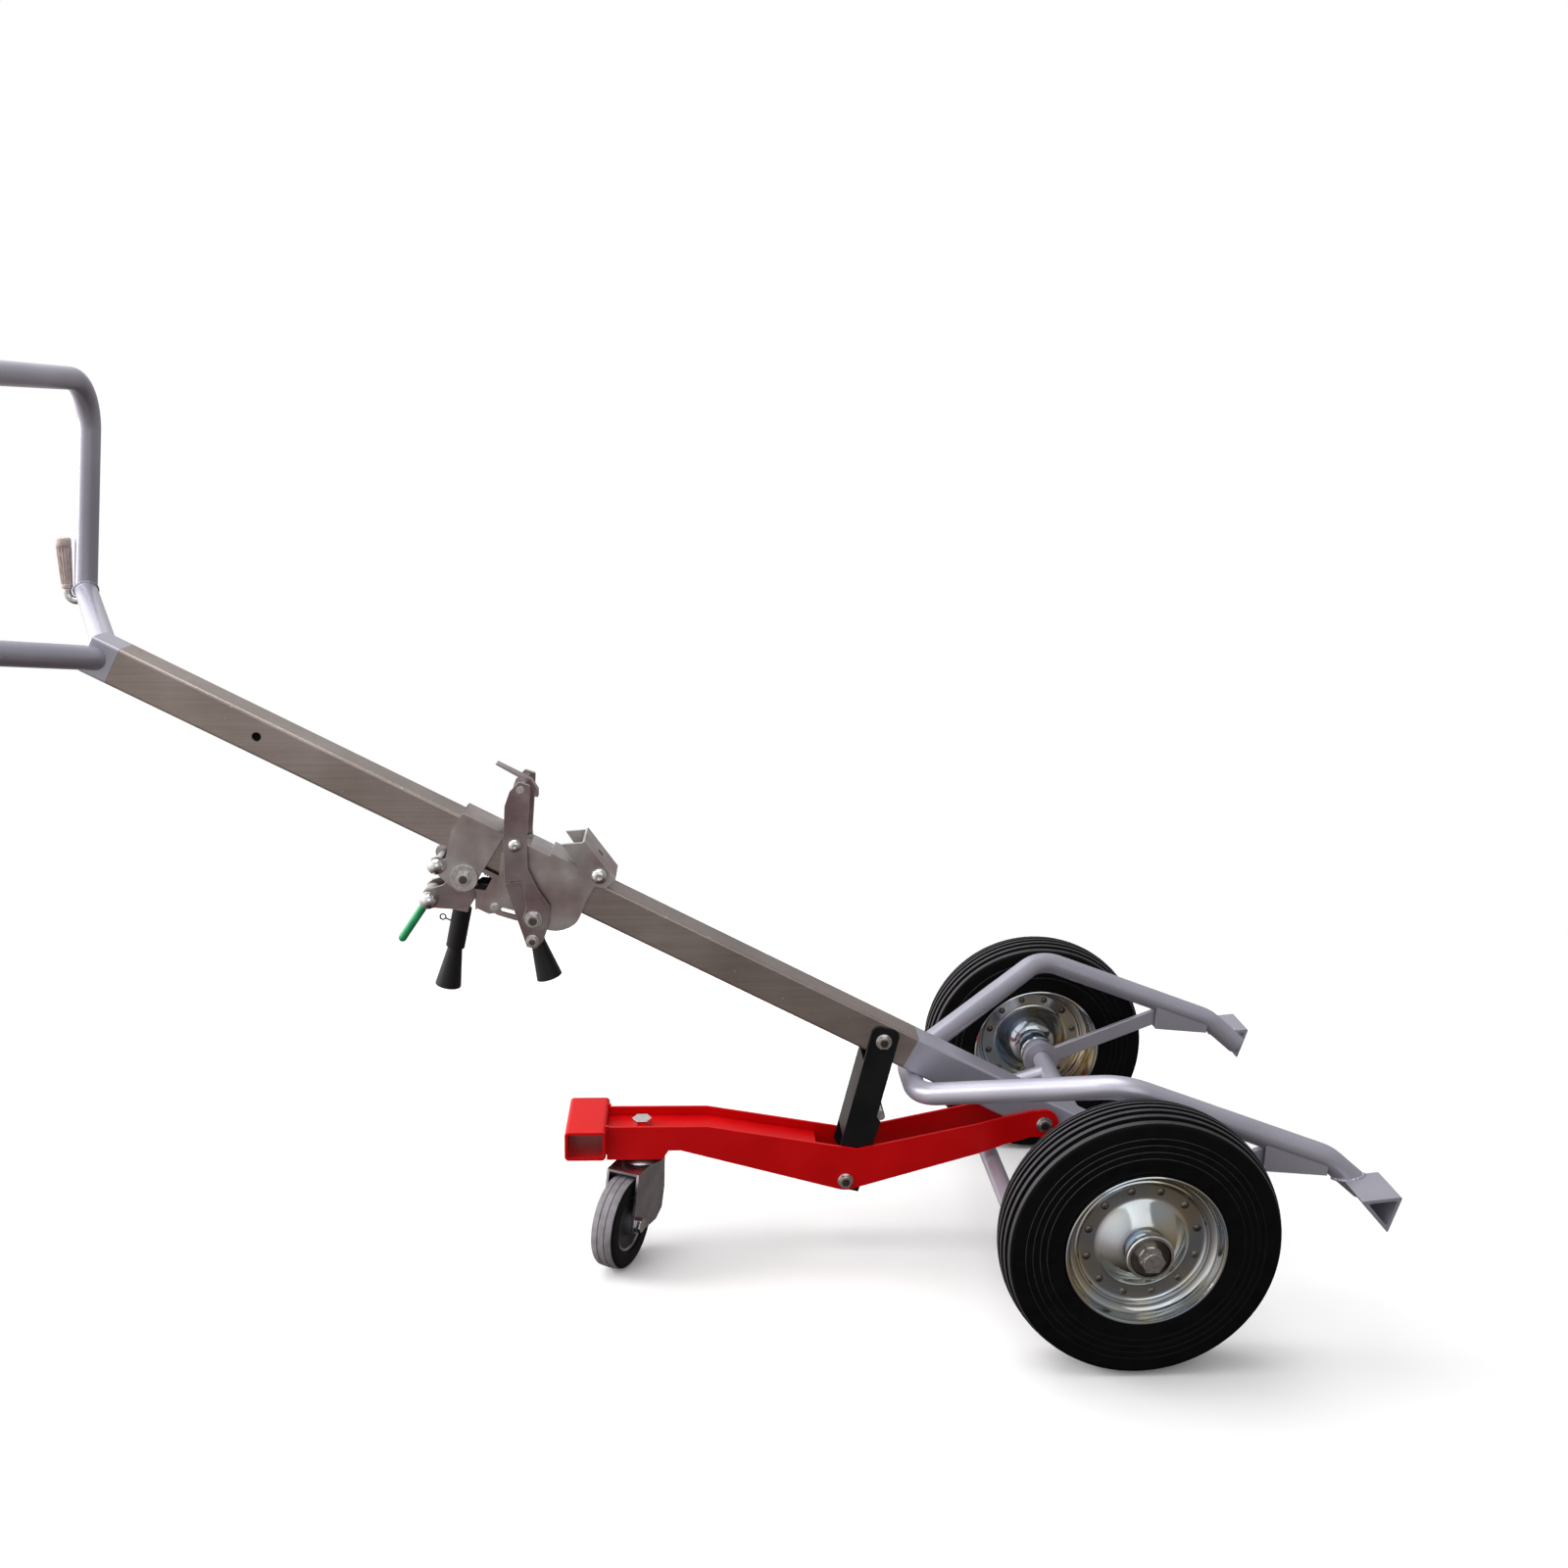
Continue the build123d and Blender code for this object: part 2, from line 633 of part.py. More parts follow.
# Wheels: tyre, two pressed discs, hub and rivets
for side_name, side in sides:
    centre_y = side * half_track
    axle_line = Plane(origin=(axle_x, centre_y, axle_z), x_dir=(0, side, 0), z_dir=(1, 0, 0))
    spin = Axis((axle_x, centre_y, axle_z), (0, 1, 0))
    half_w = tyre_w / 2
    rim_r = rim_d / 2
    tread_r = wheel_r - tread_crown
    with BuildPart() as tyre:
        with BuildSketch(axle_line) as tyre_section:
            with BuildLine():
                Polyline(
                    (-half_w, rim_r + rim_lip_t),
                    (-half_w, wheel_r - tyre_shoulder),
                    (-half_w + tyre_shoulder, tread_r),
                    (0, wheel_r),
                    (half_w - tyre_shoulder, tread_r),
                    (half_w, wheel_r - tyre_shoulder),
                    (half_w, rim_r + rim_lip_t),
                    (half_w - bead_w, rim_r),
                    (-half_w + bead_w, rim_r),
                    close=True,
                )
            make_face()
        revolve(tyre_section.sketch, axis=spin)
    write(tyre, side_name + "_tyre")

    hub_r = hub_d / 2
    rivet_spots = []
    for index in range(rivet_count):
        around = radians(360.0 * index / rivet_count + rivet_start)
        reach = rivet_circle_d / 2
        rivet_spots.append((reach * cos(around), axle_z + reach * sin(around)))
    for disc_name, face, dome in (("outer", 1, dome_out), ("inner", -1, dome_in)):
        joint_in = disc_joint + face * run_fit
        joint_out = disc_joint + face * disc_t
        with BuildPart() as disc:
            with BuildSketch(axle_line) as disc_section:
                with BuildLine():
                    Polyline(
                        (face * (half_w + rim_lip_out), rim_r + rim_lip_t),
                        (face * (half_w + weld_gap), rim_r + rim_lip_t),
                        (face * (half_w - bead_w), rim_r - weld_gap),
                        (joint_out, rim_r - weld_gap),
                        (joint_in, rim_r - disc_t),
                        (joint_in, hub_r + dome_w),
                        (dome, hub_r + hole_fit),
                        (dome + face * disc_t, hub_r + hole_fit),
                        (dome + face * disc_t, hub_r + disc_t / 2),
                        (joint_out, hub_r + dome_w + disc_t / 2),
                        (joint_out, rim_r - 3 * disc_t),
                        (face * (half_w - bead_w + disc_t / 2), rim_r - rim_lip_t),
                        close=True,
                    )
                make_face()
            revolve(disc_section.sketch, axis=spin)
            for spot in rivet_spots:
                ends = (centre_y - tyre_w, centre_y + tyre_w)
                rod(side_plane, spot, rivet_d / 2 + hole_fit, *ends, Mode.SUBTRACT)
        write(disc, side_name + "_rim_" + disc_name)

    with BuildPart() as hub:
        rod(side_plane, (0.0, axle_z), hub_r, centre_y - hub_half, centre_y + hub_half)
        ends = (centre_y - tyre_w, centre_y + tyre_w)
        rod(side_plane, (0.0, axle_z), axle_d / 2 + run_fit, *ends, Mode.SUBTRACT)
    write(hub, side_name + "_hub")

    joint_y = centre_y + side * disc_joint
    with BuildPart() as rivets:
        for spot in rivet_spots:
            rod(side_plane, spot, rivet_d / 2, joint_y - disc_t, joint_y + disc_t)
            for face in (-1, 1):
                head = sorted((joint_y + face * disc_t, joint_y + face * (disc_t + rivet_head_t)))
                rod(side_plane, spot, rivet_head_d / 2, *head)
    write(rivets, side_name + "_rivets")

# Castor stand: two side plates, a web between them and the pedal tube
web_top = castor_d + castor_headroom
plate_top = web_top + web_set_down
plate_low = plate_top - stand_depth
ear_inner = mast_half + side_gap
stand_outer = stand_inner_half + plate_t
pivot_back, pivot_height = stand_pivot
ear_half = ear_radius - ear_trim
step_back = pedal_back - step_start - step_slope
stand_outline = (
    (pedal_back, plate_top),
    (pedal_back - flat_run, plate_top),
    (knee_back - knee_crest_ahead, knee_height + knee_above),
    (pivot_back + ear_run, pivot_height + ear_half),
    (pivot_back, pivot_height + ear_half),
    (pivot_back, pivot_height - ear_half),
    (pivot_back + ear_run, pivot_height - ear_half),
    (knee_back, knee_height - knee_below),
    (step_back - step_run, plate_low + step_height),
    (step_back, plate_low + step_height),
    (pedal_back - step_start, plate_low),
    (pedal_back, plate_low),
)
joggle_low = pivot_back + joggle_start
joggle_high = joggle_low + joggle_length
ear_tip = pivot_back - 2 * ear_radius
for side_name, side in sides:
    strip = (
        (pedal_back, side * stand_inner_half),
        (joggle_high, side * stand_inner_half),
        (joggle_low, side * ear_inner),
        (ear_tip, side * ear_inner),
        (ear_tip, side * (ear_inner + plate_t)),
        (joggle_low, side * (ear_inner + plate_t)),
        (joggle_high, side * stand_outer),
        (pedal_back, side * stand_outer),
    )
    span = sorted((side * mast_half, side * (stand_outer + plate_t)))
    with BuildPart() as stand_side:
        with BuildSketch(side_plane(span[0])) as stand_sketch:
            with BuildLine():
                Polyline(*stand_outline, close=True)
            make_face()
            knee_corner = stand_sketch.vertices().sort_by(Axis.Y)[0]
            fillet(knee_corner, knee_radius)
            with Locations(stand_pivot):
                Circle(ear_radius)
        extrude(stand_sketch.sketch, amount=span[1] - span[0])
        with BuildSketch(plan_plane(2 * plate_top)) as strip_sketch:
            with BuildLine():
                Polyline(*strip, close=True)
            make_face()
        extrude(strip_sketch.sketch, amount=2 * plate_top, mode=Mode.INTERSECT)
        rod(side_plane, stand_pivot, bolt_d / 2 + run_fit, -mast_size, mast_size, Mode.SUBTRACT)
        rod(side_plane, knee, bolt_d / 2 + hole_fit, -mast_size, mast_size, Mode.SUBTRACT)
    write(stand_side, "stand_side_" + side_name)

castor_back = pedal_back - castor_inset
web_low = knee_height + knee_above - web_below_edge
web_end = knee_back + web_start
web_bend = pedal_back - flat_run
web_outline = (
    (pedal_back, web_top - web_t),
    (pedal_back, web_top),
    (web_bend, web_top),
    (web_end, web_low),
    (web_end, web_low - web_t),
    (web_bend, web_top - web_t),
)
with BuildPart() as stand_web:
    plate(side_plane, web_outline, -stand_inner_half, stand_inner_half)
    with Locations((axle_x - castor_back, 0, web_top)):
        Cylinder(kingpin_d / 2 + hole_fit, 4 * web_t, mode=Mode.SUBTRACT)
write(stand_web, "stand_web")

pedal_inner_width = pedal_width - 2 * pedal_wall
pedal_inner_height = pedal_height - 2 * pedal_wall
with BuildPart() as stand_pedal:
    with BuildSketch(side_plane(-pedal_length / 2)) as pedal_section:
        with Locations((pedal_back + pedal_width / 2, plate_top + pedal_rise - pedal_height / 2)):
            RectangleRounded(pedal_width, pedal_height, pedal_corner)
            RectangleRounded(
                pedal_inner_width, pedal_inner_height, pedal_corner - pedal_wall, mode=Mode.SUBTRACT
            )
    extrude(pedal_section.sketch, amount=pedal_length)
write(stand_pedal, "stand_pedal")

with BuildPart() as knee_pin:
    cross_bolt(side_plane, knee, bolt_d, stand_outer, bolt_flats, bolt_head_t)
write(knee_pin, "knee_pin")

# Strut: channel hinged on the mast, its open mouth seated on the knee pin
strut_run = Vector(strut_top[0] - knee[0], 0, knee[1] - strut_top[1])
strut_length = strut_run.length


def strut_plane(y):
    """Plane at y: first axis down the strut from its bolt, second axis towards its web."""
    return Plane(origin=(axle_x - strut_top[0], y, strut_top[1]), x_dir=strut_run, z_dir=(0, 1, 0))


strut_half = strut_width / 2
strut_foot = strut_length + strut_tail
mouth_half = bolt_d / 2 + mouth_clearance
mouth = radians(strut_mouth_angle)
lead = Vector(-cos(mouth), sin(mouth)) * strut_width * 2
across = Vector(sin(mouth), cos(mouth)) * mouth_half
seat = Vector(strut_length, 0)
blade = (
    (-strut_half, -strut_half),
    (strut_toe_at - strut_toe, -strut_half),
    (strut_toe_at, -strut_half - strut_toe),
    (strut_foot, -strut_half - strut_toe / 2),
    (strut_foot, strut_half),
    (-strut_half, strut_half),
)
back_web = (
    (strut_web_top, strut_half - strut_t),
    (strut_web_low, strut_half - strut_t),
    (strut_web_low, strut_half),
    (strut_web_top, strut_half),
)
mouth_corners = (seat + across, seat - across, seat - across + lead, seat + across + lead)
with BuildPart() as prop_strut:
    for side in (-1, 1):
        ends = sorted((side * strut_inner, side * strut_outer))
        with BuildSketch(strut_plane(ends[0])) as blade_sketch:
            with BuildLine():
                Polyline(*blade, close=True)
            make_face()
            fillet(blade_sketch.vertices().group_by(Axis.X)[0], strut_corner)
        extrude(blade_sketch.sketch, amount=strut_t)
    plate(strut_plane, back_web, -strut_inner, strut_inner)
    rod(strut_plane, (0.0, 0.0), bolt_d / 2 + run_fit, -mast_size, mast_size, Mode.SUBTRACT)
    rod(strut_plane, (strut_length, 0.0), mouth_half, -mast_size, mast_size, Mode.SUBTRACT)
    cut_plate(strut_plane, [(corner.X, corner.Y) for corner in mouth_corners], -mast_size, mast_size)
write(prop_strut, "prop_strut")

latch_line = (latch_at, -strut_half - latch_d / 2)
latch_seat = (
    (latch_at - latch_block, -strut_half),
    (latch_at, -strut_half),
    (latch_at, -strut_half - latch_d / 2),
    (latch_at - latch_block, -strut_half - latch_d / 2),
)
with BuildPart() as strut_latch:
    rod(strut_plane, latch_line, latch_d / 2, -strut_outer, strut_outer)
    for side in (-1, 1):
        plate(strut_plane, latch_seat, *sorted((side * strut_inner, side * strut_outer)))
    add(prop_strut.part, mode=Mode.SUBTRACT)
write(strut_latch, "strut_latch")

# Castor: fixed head, swivelling fork and wheel
turn = radians(castor_turn)
trail_dir = Vector(-sin(turn), -cos(turn), 0)
castor_axle_dir = Vector(cos(turn), -sin(turn), 0)
swivel = Vector(axle_x - castor_back, 0, 0)
castor_r = castor_d / 2
fork_inner = castor_w / 2 + fork_room
fork_outer = fork_inner + fork_t
crown_low = castor_d + fork_over
crown_top = crown_low + fork_t
cup_top = crown_top + fork_cup_h
web_under = web_top - web_t
from_below = (Align.CENTER, Align.CENTER, Align.MIN)


def trail_plane(offset_out):
    """Upright plane along the trail: first axis along the trail, second axis up."""
    start = swivel + castor_axle_dir * offset_out
    return Plane(origin=start, x_dir=trail_dir, z_dir=castor_axle_dir * -1)


def upright(height):
    """Level plane on the castor's swivel line, facing up."""
    return Plane(origin=swivel + Vector(0, 0, height))


with BuildPart() as castor_head:
    with Locations(upright(cup_top + side_gap)):
        Cylinder(head_cup_d / 2, web_under - cup_top - side_gap, align=from_below)
        Cylinder(kingpin_d / 2 + hole_fit, web_top, mode=Mode.SUBTRACT)
write(castor_head, "castor_head")

pin_low = crown_low - rivet_plate_t - side_gap
with BuildPart() as kingpin:
    with Locations(upright(pin_low)):
        Cylinder(rivet_plate_d / 2, rivet_plate_t, align=from_below)
        Cylinder(kingpin_d / 2, web_top - pin_low, align=from_below)
    with BuildSketch(upright(web_top)) as kingpin_head:
        RegularPolygon(kingpin_flats * hex_of, 6)
    extrude(kingpin_head.sketch, amount=kingpin_head_t)
write(kingpin, "castor_kingpin")

leg_corners = [(leg_front, crown_top), (leg_rear, crown_top)]
leg_corners += [(ahead, crown_top + drop) for ahead, drop in leg_outline]
crown_corners = (
    (leg_rear, crown_low),
    (leg_front, crown_low),
    (leg_front, crown_top),
    (leg_rear, crown_top),
)
with BuildPart() as castor_fork:
    with BuildSketch(trail_plane(fork_outer)) as crown_sketch:
        with BuildLine():
            Polyline(*crown_corners, close=True)
        make_face()
    extrude(crown_sketch.sketch, amount=2 * fork_outer)
    for end in (fork_outer, -fork_inner):
        with BuildSketch(trail_plane(end)) as leg_sketch:
            with BuildLine():
                Polyline(*leg_corners, close=True)
            make_face()
            with Locations((castor_trail, castor_r)):
                Circle(leg_end_r)
            make_hull()
            with Locations((castor_trail, castor_r)):
                Circle(castor_axle_d / 2 + hole_fit, mode=Mode.SUBTRACT)
        extrude(leg_sketch.sketch, amount=fork_t)
    with Locations(upright(crown_top)):
        Cone(fork_bowl_d / 2, fork_cup_d / 2, fork_bowl_h, align=from_below)
        Cylinder(fork_cup_d / 2, fork_cup_h, align=from_below)
        Cylinder(kingpin_d / 2 + run_fit, web_top, mode=Mode.SUBTRACT)
write(castor_fork, "castor_fork")

castor_centre = swivel + trail_dir * castor_trail + Vector(0, 0, castor_r)
castor_line = Plane(origin=castor_centre, x_dir=trail_dir, z_dir=castor_axle_dir)
with BuildPart() as castor_axle:
    with Locations(castor_line):
        Cylinder(castor_axle_d / 2, 2 * fork_outer)
    for end in (-1, 1):
        with BuildSketch(castor_line.offset(end * fork_outer)) as nut_sketch:
            RegularPolygon(bolt_flats * hex_of, 6)
        extrude(nut_sketch.sketch, amount=end * bolt_head_t)
write(castor_axle, "castor_axle")

core_r = castor_core_d / 2
with BuildPart() as castor_core:
    with Locations(castor_line):
        Cylinder(core_r, castor_w - 2 * fork_room)
        Cylinder(castor_boss_d / 2, 2 * (fork_inner - side_gap))
        Cylinder(castor_axle_d / 2 + run_fit, 2 * castor_w, mode=Mode.SUBTRACT)
write(castor_core, "castor_core")

with BuildPart() as castor_tyre:
    with Locations(castor_line):
        Cylinder(castor_r, castor_w)
        Cylinder(core_r, 2 * castor_w, mode=Mode.SUBTRACT)
    fillet(castor_tyre.edges().filter_by(GeomType.CIRCLE).sort_by(SortBy.RADIUS)[-2:], castor_round)
write(castor_tyre, "castor_tyre")

# Rim clamp: saddles on the mast, joined under it
saddle_in = mast_half + slide_fit
saddle_out = saddle_in + saddle_t
saddle_roof = mast_over + slide_fit
roof_top = saddle_roof + saddle_t
bolt_hole = bolt_d / 2 + hole_fit
bolt_bore = bolt_d / 2 + run_fit


def clamp_plane(y):
    """Plane at y from the middle of the clamp: first axis up along the mast, second across it."""
    middle = mast_plane(y).from_local_coords((clamp_along, 0, 0))
    return Plane(origin=middle, x_dir=(-cos(tilt), 0, sin(tilt)), z_dir=(0, 1, 0))


def drill(centre, radius):
    """Hole through the whole width of the clamp."""
    rod(clamp_plane, centre, radius, -mast_size, mast_size, Mode.SUBTRACT)


def roof_plate(span, low, high, half_width):
    """Flat plate over the mast between two places along it."""
    corners = ((span[0], low), (span[1], low), (span[1], high), (span[0], high))
    plate(clamp_plane, corners, -half_width, half_width)


upper_outline = (
    (upper_roof[1] + 1.0, roof_top),
    (74.0, -2.0),
    (70.0, -19.0),
    (67.0, -30.0),
    (roller_pin[0] + 6.5, roller_pin[1] + 4.0),
    (roller_pin[0] + 6.5, roller_pin[1] - 4.0),
    (roller_pin[0] - 5.0, roller_pin[1] - 8.5),
    (lever_pin[0] + 9.0, lever_pin[1] - 13.0),
    (lever_pin[0], lever_pin[1] - 15.0),
    (lever_pin[0] - 8.0, lever_pin[1] - 12.0),
    (lever_pin[0] - 12.4, lever_pin[1] - 2.0),
    (lever_pin[0] - 12.4, lever_pin[1] + 10.0),
    (upper_roof[0] - 1.0, roof_top),
)
lower_outline = (
    (lower_roof[1] + 2.0, roof_top),
    (24.0, 0.0),
    (16.0, -22.0),
    (ear_pin[0] + 8.8, ear_pin[1] + 21.0),
    (ear_pin[0] + 4.8, ear_pin[1] - 2.5),
    (ear_pin[0] - 4.1, ear_pin[1] - 6.0),
    (ear_pin[0] - 14.0, ear_pin[1] - 4.5),
    (hook_pin[0] - 10.0, hook_pin[1] - 6.5),
    (hook_pin[0] - 14.5, hook_pin[1] - 6.3),
    (hook_pin[0] - 19.0, hook_pin[1] - 5.3),
    (hook_pin[0] - 24.6, hook_pin[1] - 3.0),
    (hook_pin[0] - 29.6, hook_pin[1] + 0.6),
    (hook_pin[0] - 34.3, hook_pin[1] + 5.8),
    (jaw_pin[0] - 1.6, -31.0),
    (jaw_pin[0] - 2.25, -26.3),
    (jaw_pin[0] - 2.1, -21.6),
    (jaw_pin[0] - 0.3, -4.3),
    (jaw_pin[0] - 1.0, jaw_pin[1] - 11.0),
    (jaw_pin[0] - 7.0, jaw_pin[1] - 2.0),
    (jaw_pin[0] - 5.4, jaw_pin[1] + 3.0),
    (jaw_pin[0] - 1.0, jaw_pin[1] + 6.0),
    (jaw_pin[0] + 5.0, jaw_pin[1] + 5.0),
    (lower_roof[0], roof_top),
)
with BuildPart() as upper_saddle:
    for side in (-1, 1):
        ends = sorted((side * saddle_in, side * saddle_out))
        plate(clamp_plane, upper_outline, *ends, round_by=clamp_round)
    roof_plate(upper_roof, saddle_roof, roof_top, saddle_in)
    drill(lever_pin, bolt_hole)
    drill(roller_pin, bolt_hole)
write(upper_saddle, "upper_saddle")

with BuildPart() as lower_saddle:
    for side in (-1, 1):
        ends = sorted((side * saddle_in, side * saddle_out))
        plate(clamp_plane, lower_outline, *ends, round_by=clamp_round)
    roof_plate(lower_roof, saddle_roof, roof_top, saddle_in)
    roof_plate((lower_roof[0] + clamp_round, doubler_end), roof_top, roof_top + saddle_t, saddle_out)
    drill(hook_pin, bolt_hole)
    drill(jaw_pin, bolt_hole)
    drill(ear_pin, ear_bolt_d / 2 + hole_fit)
write(lower_saddle, "lower_saddle")

link_top = mast_under - link_gap
link_low = link_top - link_t
cheek_top = link_low - weld_gap
link_cheek = (
    (ear_pin[0] + 14.5, cheek_top),
    (ear_pin[0] + 15.0, ear_pin[1] + 6.0),
    (ear_pin[0] + 14.5, ear_pin[1] - 10.5),
    (ear_pin[0] + 2.0, ear_pin[1] - 10.5),
    (ear_pin[0] - 6.0, ear_pin[1] - 5.0),
    (ear_pin[0] - 4.0, cheek_top),
)
with BuildPart() as saddle_link:
    roof_plate(link_span, link_low, link_top, saddle_in)
    for side in (-1, 1):
        ends = sorted((side * link_cheek_in, side * (link_cheek_in + saddle_t)))
        plate(clamp_plane, link_cheek, *ends, round_by=clamp_round)
    drill(ear_pin, ear_bolt_d / 2 + hole_fit)
write(saddle_link, "saddle_link")


def domed_rod(centre, grip_half):
    """Cross rod with ball nuts outside the given half length."""
    rod(clamp_plane, centre, bolt_d / 2, -grip_half, grip_half)
    for side in (-1, 1):
        neck = grip_half + dome_seat
        rod(clamp_plane, centre, dome_d / 2, *sorted((side * grip_half, side * neck)))
        spot = clamp_plane(side * neck).from_local_coords((centre[0], centre[1], 0))
        with Locations(Plane(origin=spot, z_dir=(0, side, 0))):
            Sphere(dome_d / 2, arc_size1=0, align=from_below)


with BuildPart() as roller_rod:
    domed_rod(roller_pin, saddle_out)
write(roller_rod, "roller_rod")

toe_in = saddle_out + side_gap
toe_out = toe_in + toe_t
hook_out = toe_out + hook_t
jaw_in = saddle_out + side_gap
jaw_out = jaw_in + saddle_t
with BuildPart() as clamp_bolts:
    cross_bolt(clamp_plane, lever_pin, bolt_d, saddle_out, bolt_flats, bolt_head_t, lever_washer_d)
    cross_bolt(clamp_plane, hook_pin, bolt_d, hook_out + side_gap, bolt_flats, bolt_head_t, washer_d)
    cross_bolt(clamp_plane, ear_pin, ear_bolt_d, saddle_out, ear_flats, ear_head_t)
    cross_bolt(clamp_plane, jaw_pin, bolt_d, jaw_out + side_gap, bolt_flats, bolt_head_t)
write(clamp_bolts, "clamp_bolts")

# Pump lever between the upper saddle plates
lever_out = saddle_in - side_gap
lever_in = lever_out - lever_t
lever_outline = (
    (lever_pin[0] + 8.0, lever_pin[1] + 7.0),
    (lever_pin[0] - 8.0, lever_pin[1] + 7.0),
    (lever_pin[0] - 13.5, lever_pin[1] - 8.5),
    (lever_pin[0] - 18.0, lever_pin[1] - 14.5),
    (lever_pin[0] - 17.0, lever_pin[1] - 24.0),
    (lever_pin[0] - 6.0, lever_pin[1] - 33.0),
    (rod_pin[0] - 4.0, rod_pin[1] - 7.5),
    (rod_pin[0] + 8.0, rod_pin[1] - 4.0),
    (rod_pin[0] + 6.0, rod_pin[1] + 7.0),
    (lever_pin[0] + 14.4, lever_pin[1] - 16.5),
)
with BuildPart() as pump_plates:
    for side in (-1, 1):
        ends = sorted((side * lever_in, side * lever_out))
        plate(clamp_plane, lever_outline, *ends, round_by=clamp_round)
    drill(lever_pin, bolt_bore)
    drill(rod_pin, bolt_hole)
write(pump_plates, "pump_plates")

with BuildPart() as pump_rod:
    domed_rod(rod_pin, lever_out)
write(pump_rod, "pump_rod")


def grip_line(root, tip):
    """Plane at the root of a hand grip, facing along the grip, and the grip's length."""
    start = clamp_plane(0).from_local_coords((root[0], root[1], 0))
    finish = clamp_plane(0).from_local_coords((tip[0], tip[1], 0))
    return Plane(origin=start, x_dir=(0, 1, 0), z_dir=finish - start), (finish - start).length


grip_plane, grip_length = grip_line(lever_root, lever_grip_tip)
core_length = grip_length - socket_length
with BuildPart() as pump_socket:
    with Locations(grip_plane):
        Box(2 * lever_in, socket_depth, socket_length, align=from_below)
        Cylinder(grip_core_d / 2, core_length, align=from_below)
write(pump_socket, "pump_socket")

cone_start = grip_length - grip_cone_length
with BuildPart() as pump_grip:
    with Locations(grip_plane.offset(socket_length)):
        Cylinder(grip_sleeve_d / 2, cone_start - socket_length, align=from_below)
    with Locations(grip_plane.offset(cone_start)):
        Cone(grip_neck_d / 2, grip_end_d / 2, grip_cone_length, align=from_below)
    with Locations(grip_plane):
        Cylinder(grip_core_d / 2 + hole_fit, core_length + hole_fit, align=from_below, mode=Mode.SUBTRACT)
write(pump_grip, "pump_grip")

# Release lever on the pump rod
release_plane, release_length = grip_line(rod_pin, release_tip)
with BuildPart() as release_lever:
    rod(clamp_plane, rod_pin, release_boss_d / 2, -release_boss_half, release_boss_half)
    with Locations(release_plane):
        Cylinder(release_d / 2, release_length, align=from_below)
    with Locations(release_plane.offset(release_length)):
        Sphere(release_d / 2)
    drill(rod_pin, bolt_bore)
write(release_lever, "release_lever")

# Hook arms, each a front plate riveted to a toe plate, with the claw and the hand grip
hook_outline = (
    (claw_pin[0] - 11.0, claw_pin[1] - 3.0),
    (claw_pin[0] - 6.0, claw_pin[1] + 8.0),
    (claw_pin[0] + 4.4, claw_pin[1] + 6.5),
    (claw_pin[0] + 8.0, claw_pin[1] - 6.0),
    (claw_pin[0] + 6.0, claw_pin[1] - 20.5),
    (29.6, 17.9),
    (9.0, -23.0),
    (4.0, -20.6),
    (2.0, -13.0),
    (-4.0, -11.4),
    (-9.0, -19.0),
    (hook_pin[0] + 11.0, hook_pin[1] + 7.0),
    (hook_pin[0] + 9.0, hook_pin[1] - 5.0),
    (hook_pin[0] + 3.0, hook_pin[1] - 11.0),
    (hook_pin[0] - 7.0, hook_pin[1] - 11.0),
    (hook_pin[0] - 15.0, hook_pin[1] - 2.0),
    (hook_pin[0] - 12.0, hook_pin[1] + 9.0),
    (hook_pin[0] - 8.2, hook_pin[1] + 18.0),
    (-23.0, -15.7),
    (-5.0, -1.6),
    (7.6, 22.0),
)
toe_outline = (
    (8.0, -25.0),
    (-5.0, -16.0),
    (hook_pin[0] + 9.0, hook_pin[1] + 25.0),
    (hook_pin[0] - 7.0, hook_pin[1] + 15.0),
    (hook_pin[0] - 15.0, hook_pin[1] + 3.0),
    (toe_pin[0] - 9.0, toe_pin[1] + 4.0),
    (toe_pin[0] - 6.0, toe_pin[1] - 6.0),
    (toe_pin[0] + 2.0, toe_pin[1] - 8.0),
    (toe_pin[0] + 8.0, toe_pin[1] - 2.0),
)
for side_name, side in sides:
    with BuildPart() as hook_arm:
        front = sorted((side * toe_out, side * hook_out))
        plate(clamp_plane, hook_outline, *front, round_by=clamp_round)
        plate(clamp_plane, toe_outline, *sorted((side * toe_in, side * toe_out)), round_by=clamp_round)
        drill(hook_pin, bolt_bore)
        drill(claw_pin, bolt_hole)
        drill(toe_pin, toe_bolt_d / 2 + hole_fit)
    write(hook_arm, "hook_arm_" + side_name)

with BuildPart() as claw_rod:
    rod(clamp_plane, claw_pin, bolt_d / 2, -hook_out, hook_out)
write(claw_rod, "claw_rod")

claw_outline = (
    (claw_pin[0] + 31.0, claw_pin[1] + 5.4),
    (claw_pin[0] + 30.4, claw_pin[1] + 7.6),
    (claw_pin[0] - 5.0, claw_pin[1] + 7.6),
    (claw_pin[0] - 15.0, claw_pin[1] + 1.5),
    (claw_pin[0] - 18.0, claw_pin[1] - 4.5),
    (claw_pin[0] - 15.0, claw_pin[1] - 5.5),
    (claw_pin[0] - 12.0, claw_pin[1] - 0.5),
    (claw_pin[0] - 7.0, claw_pin[1] + 2.8),
    (claw_pin[0] - 6.0, claw_pin[1] - 6.0),
    (claw_pin[0] + 6.0, claw_pin[1] - 6.0),
    (claw_pin[0] + 7.0, claw_pin[1] + 4.3),
)
with BuildPart() as rim_claws:
    plate(clamp_plane, claw_outline, -claw_half_width, claw_half_width)
    drill(claw_pin, bolt_hole)
write(rim_claws, "rim_claws")

with BuildPart() as toe_bolt:
    cross_bolt(clamp_plane, toe_pin, toe_bolt_d, toe_out, toe_flats, bolt_head_t)
write(toe_bolt, "toe_bolt")

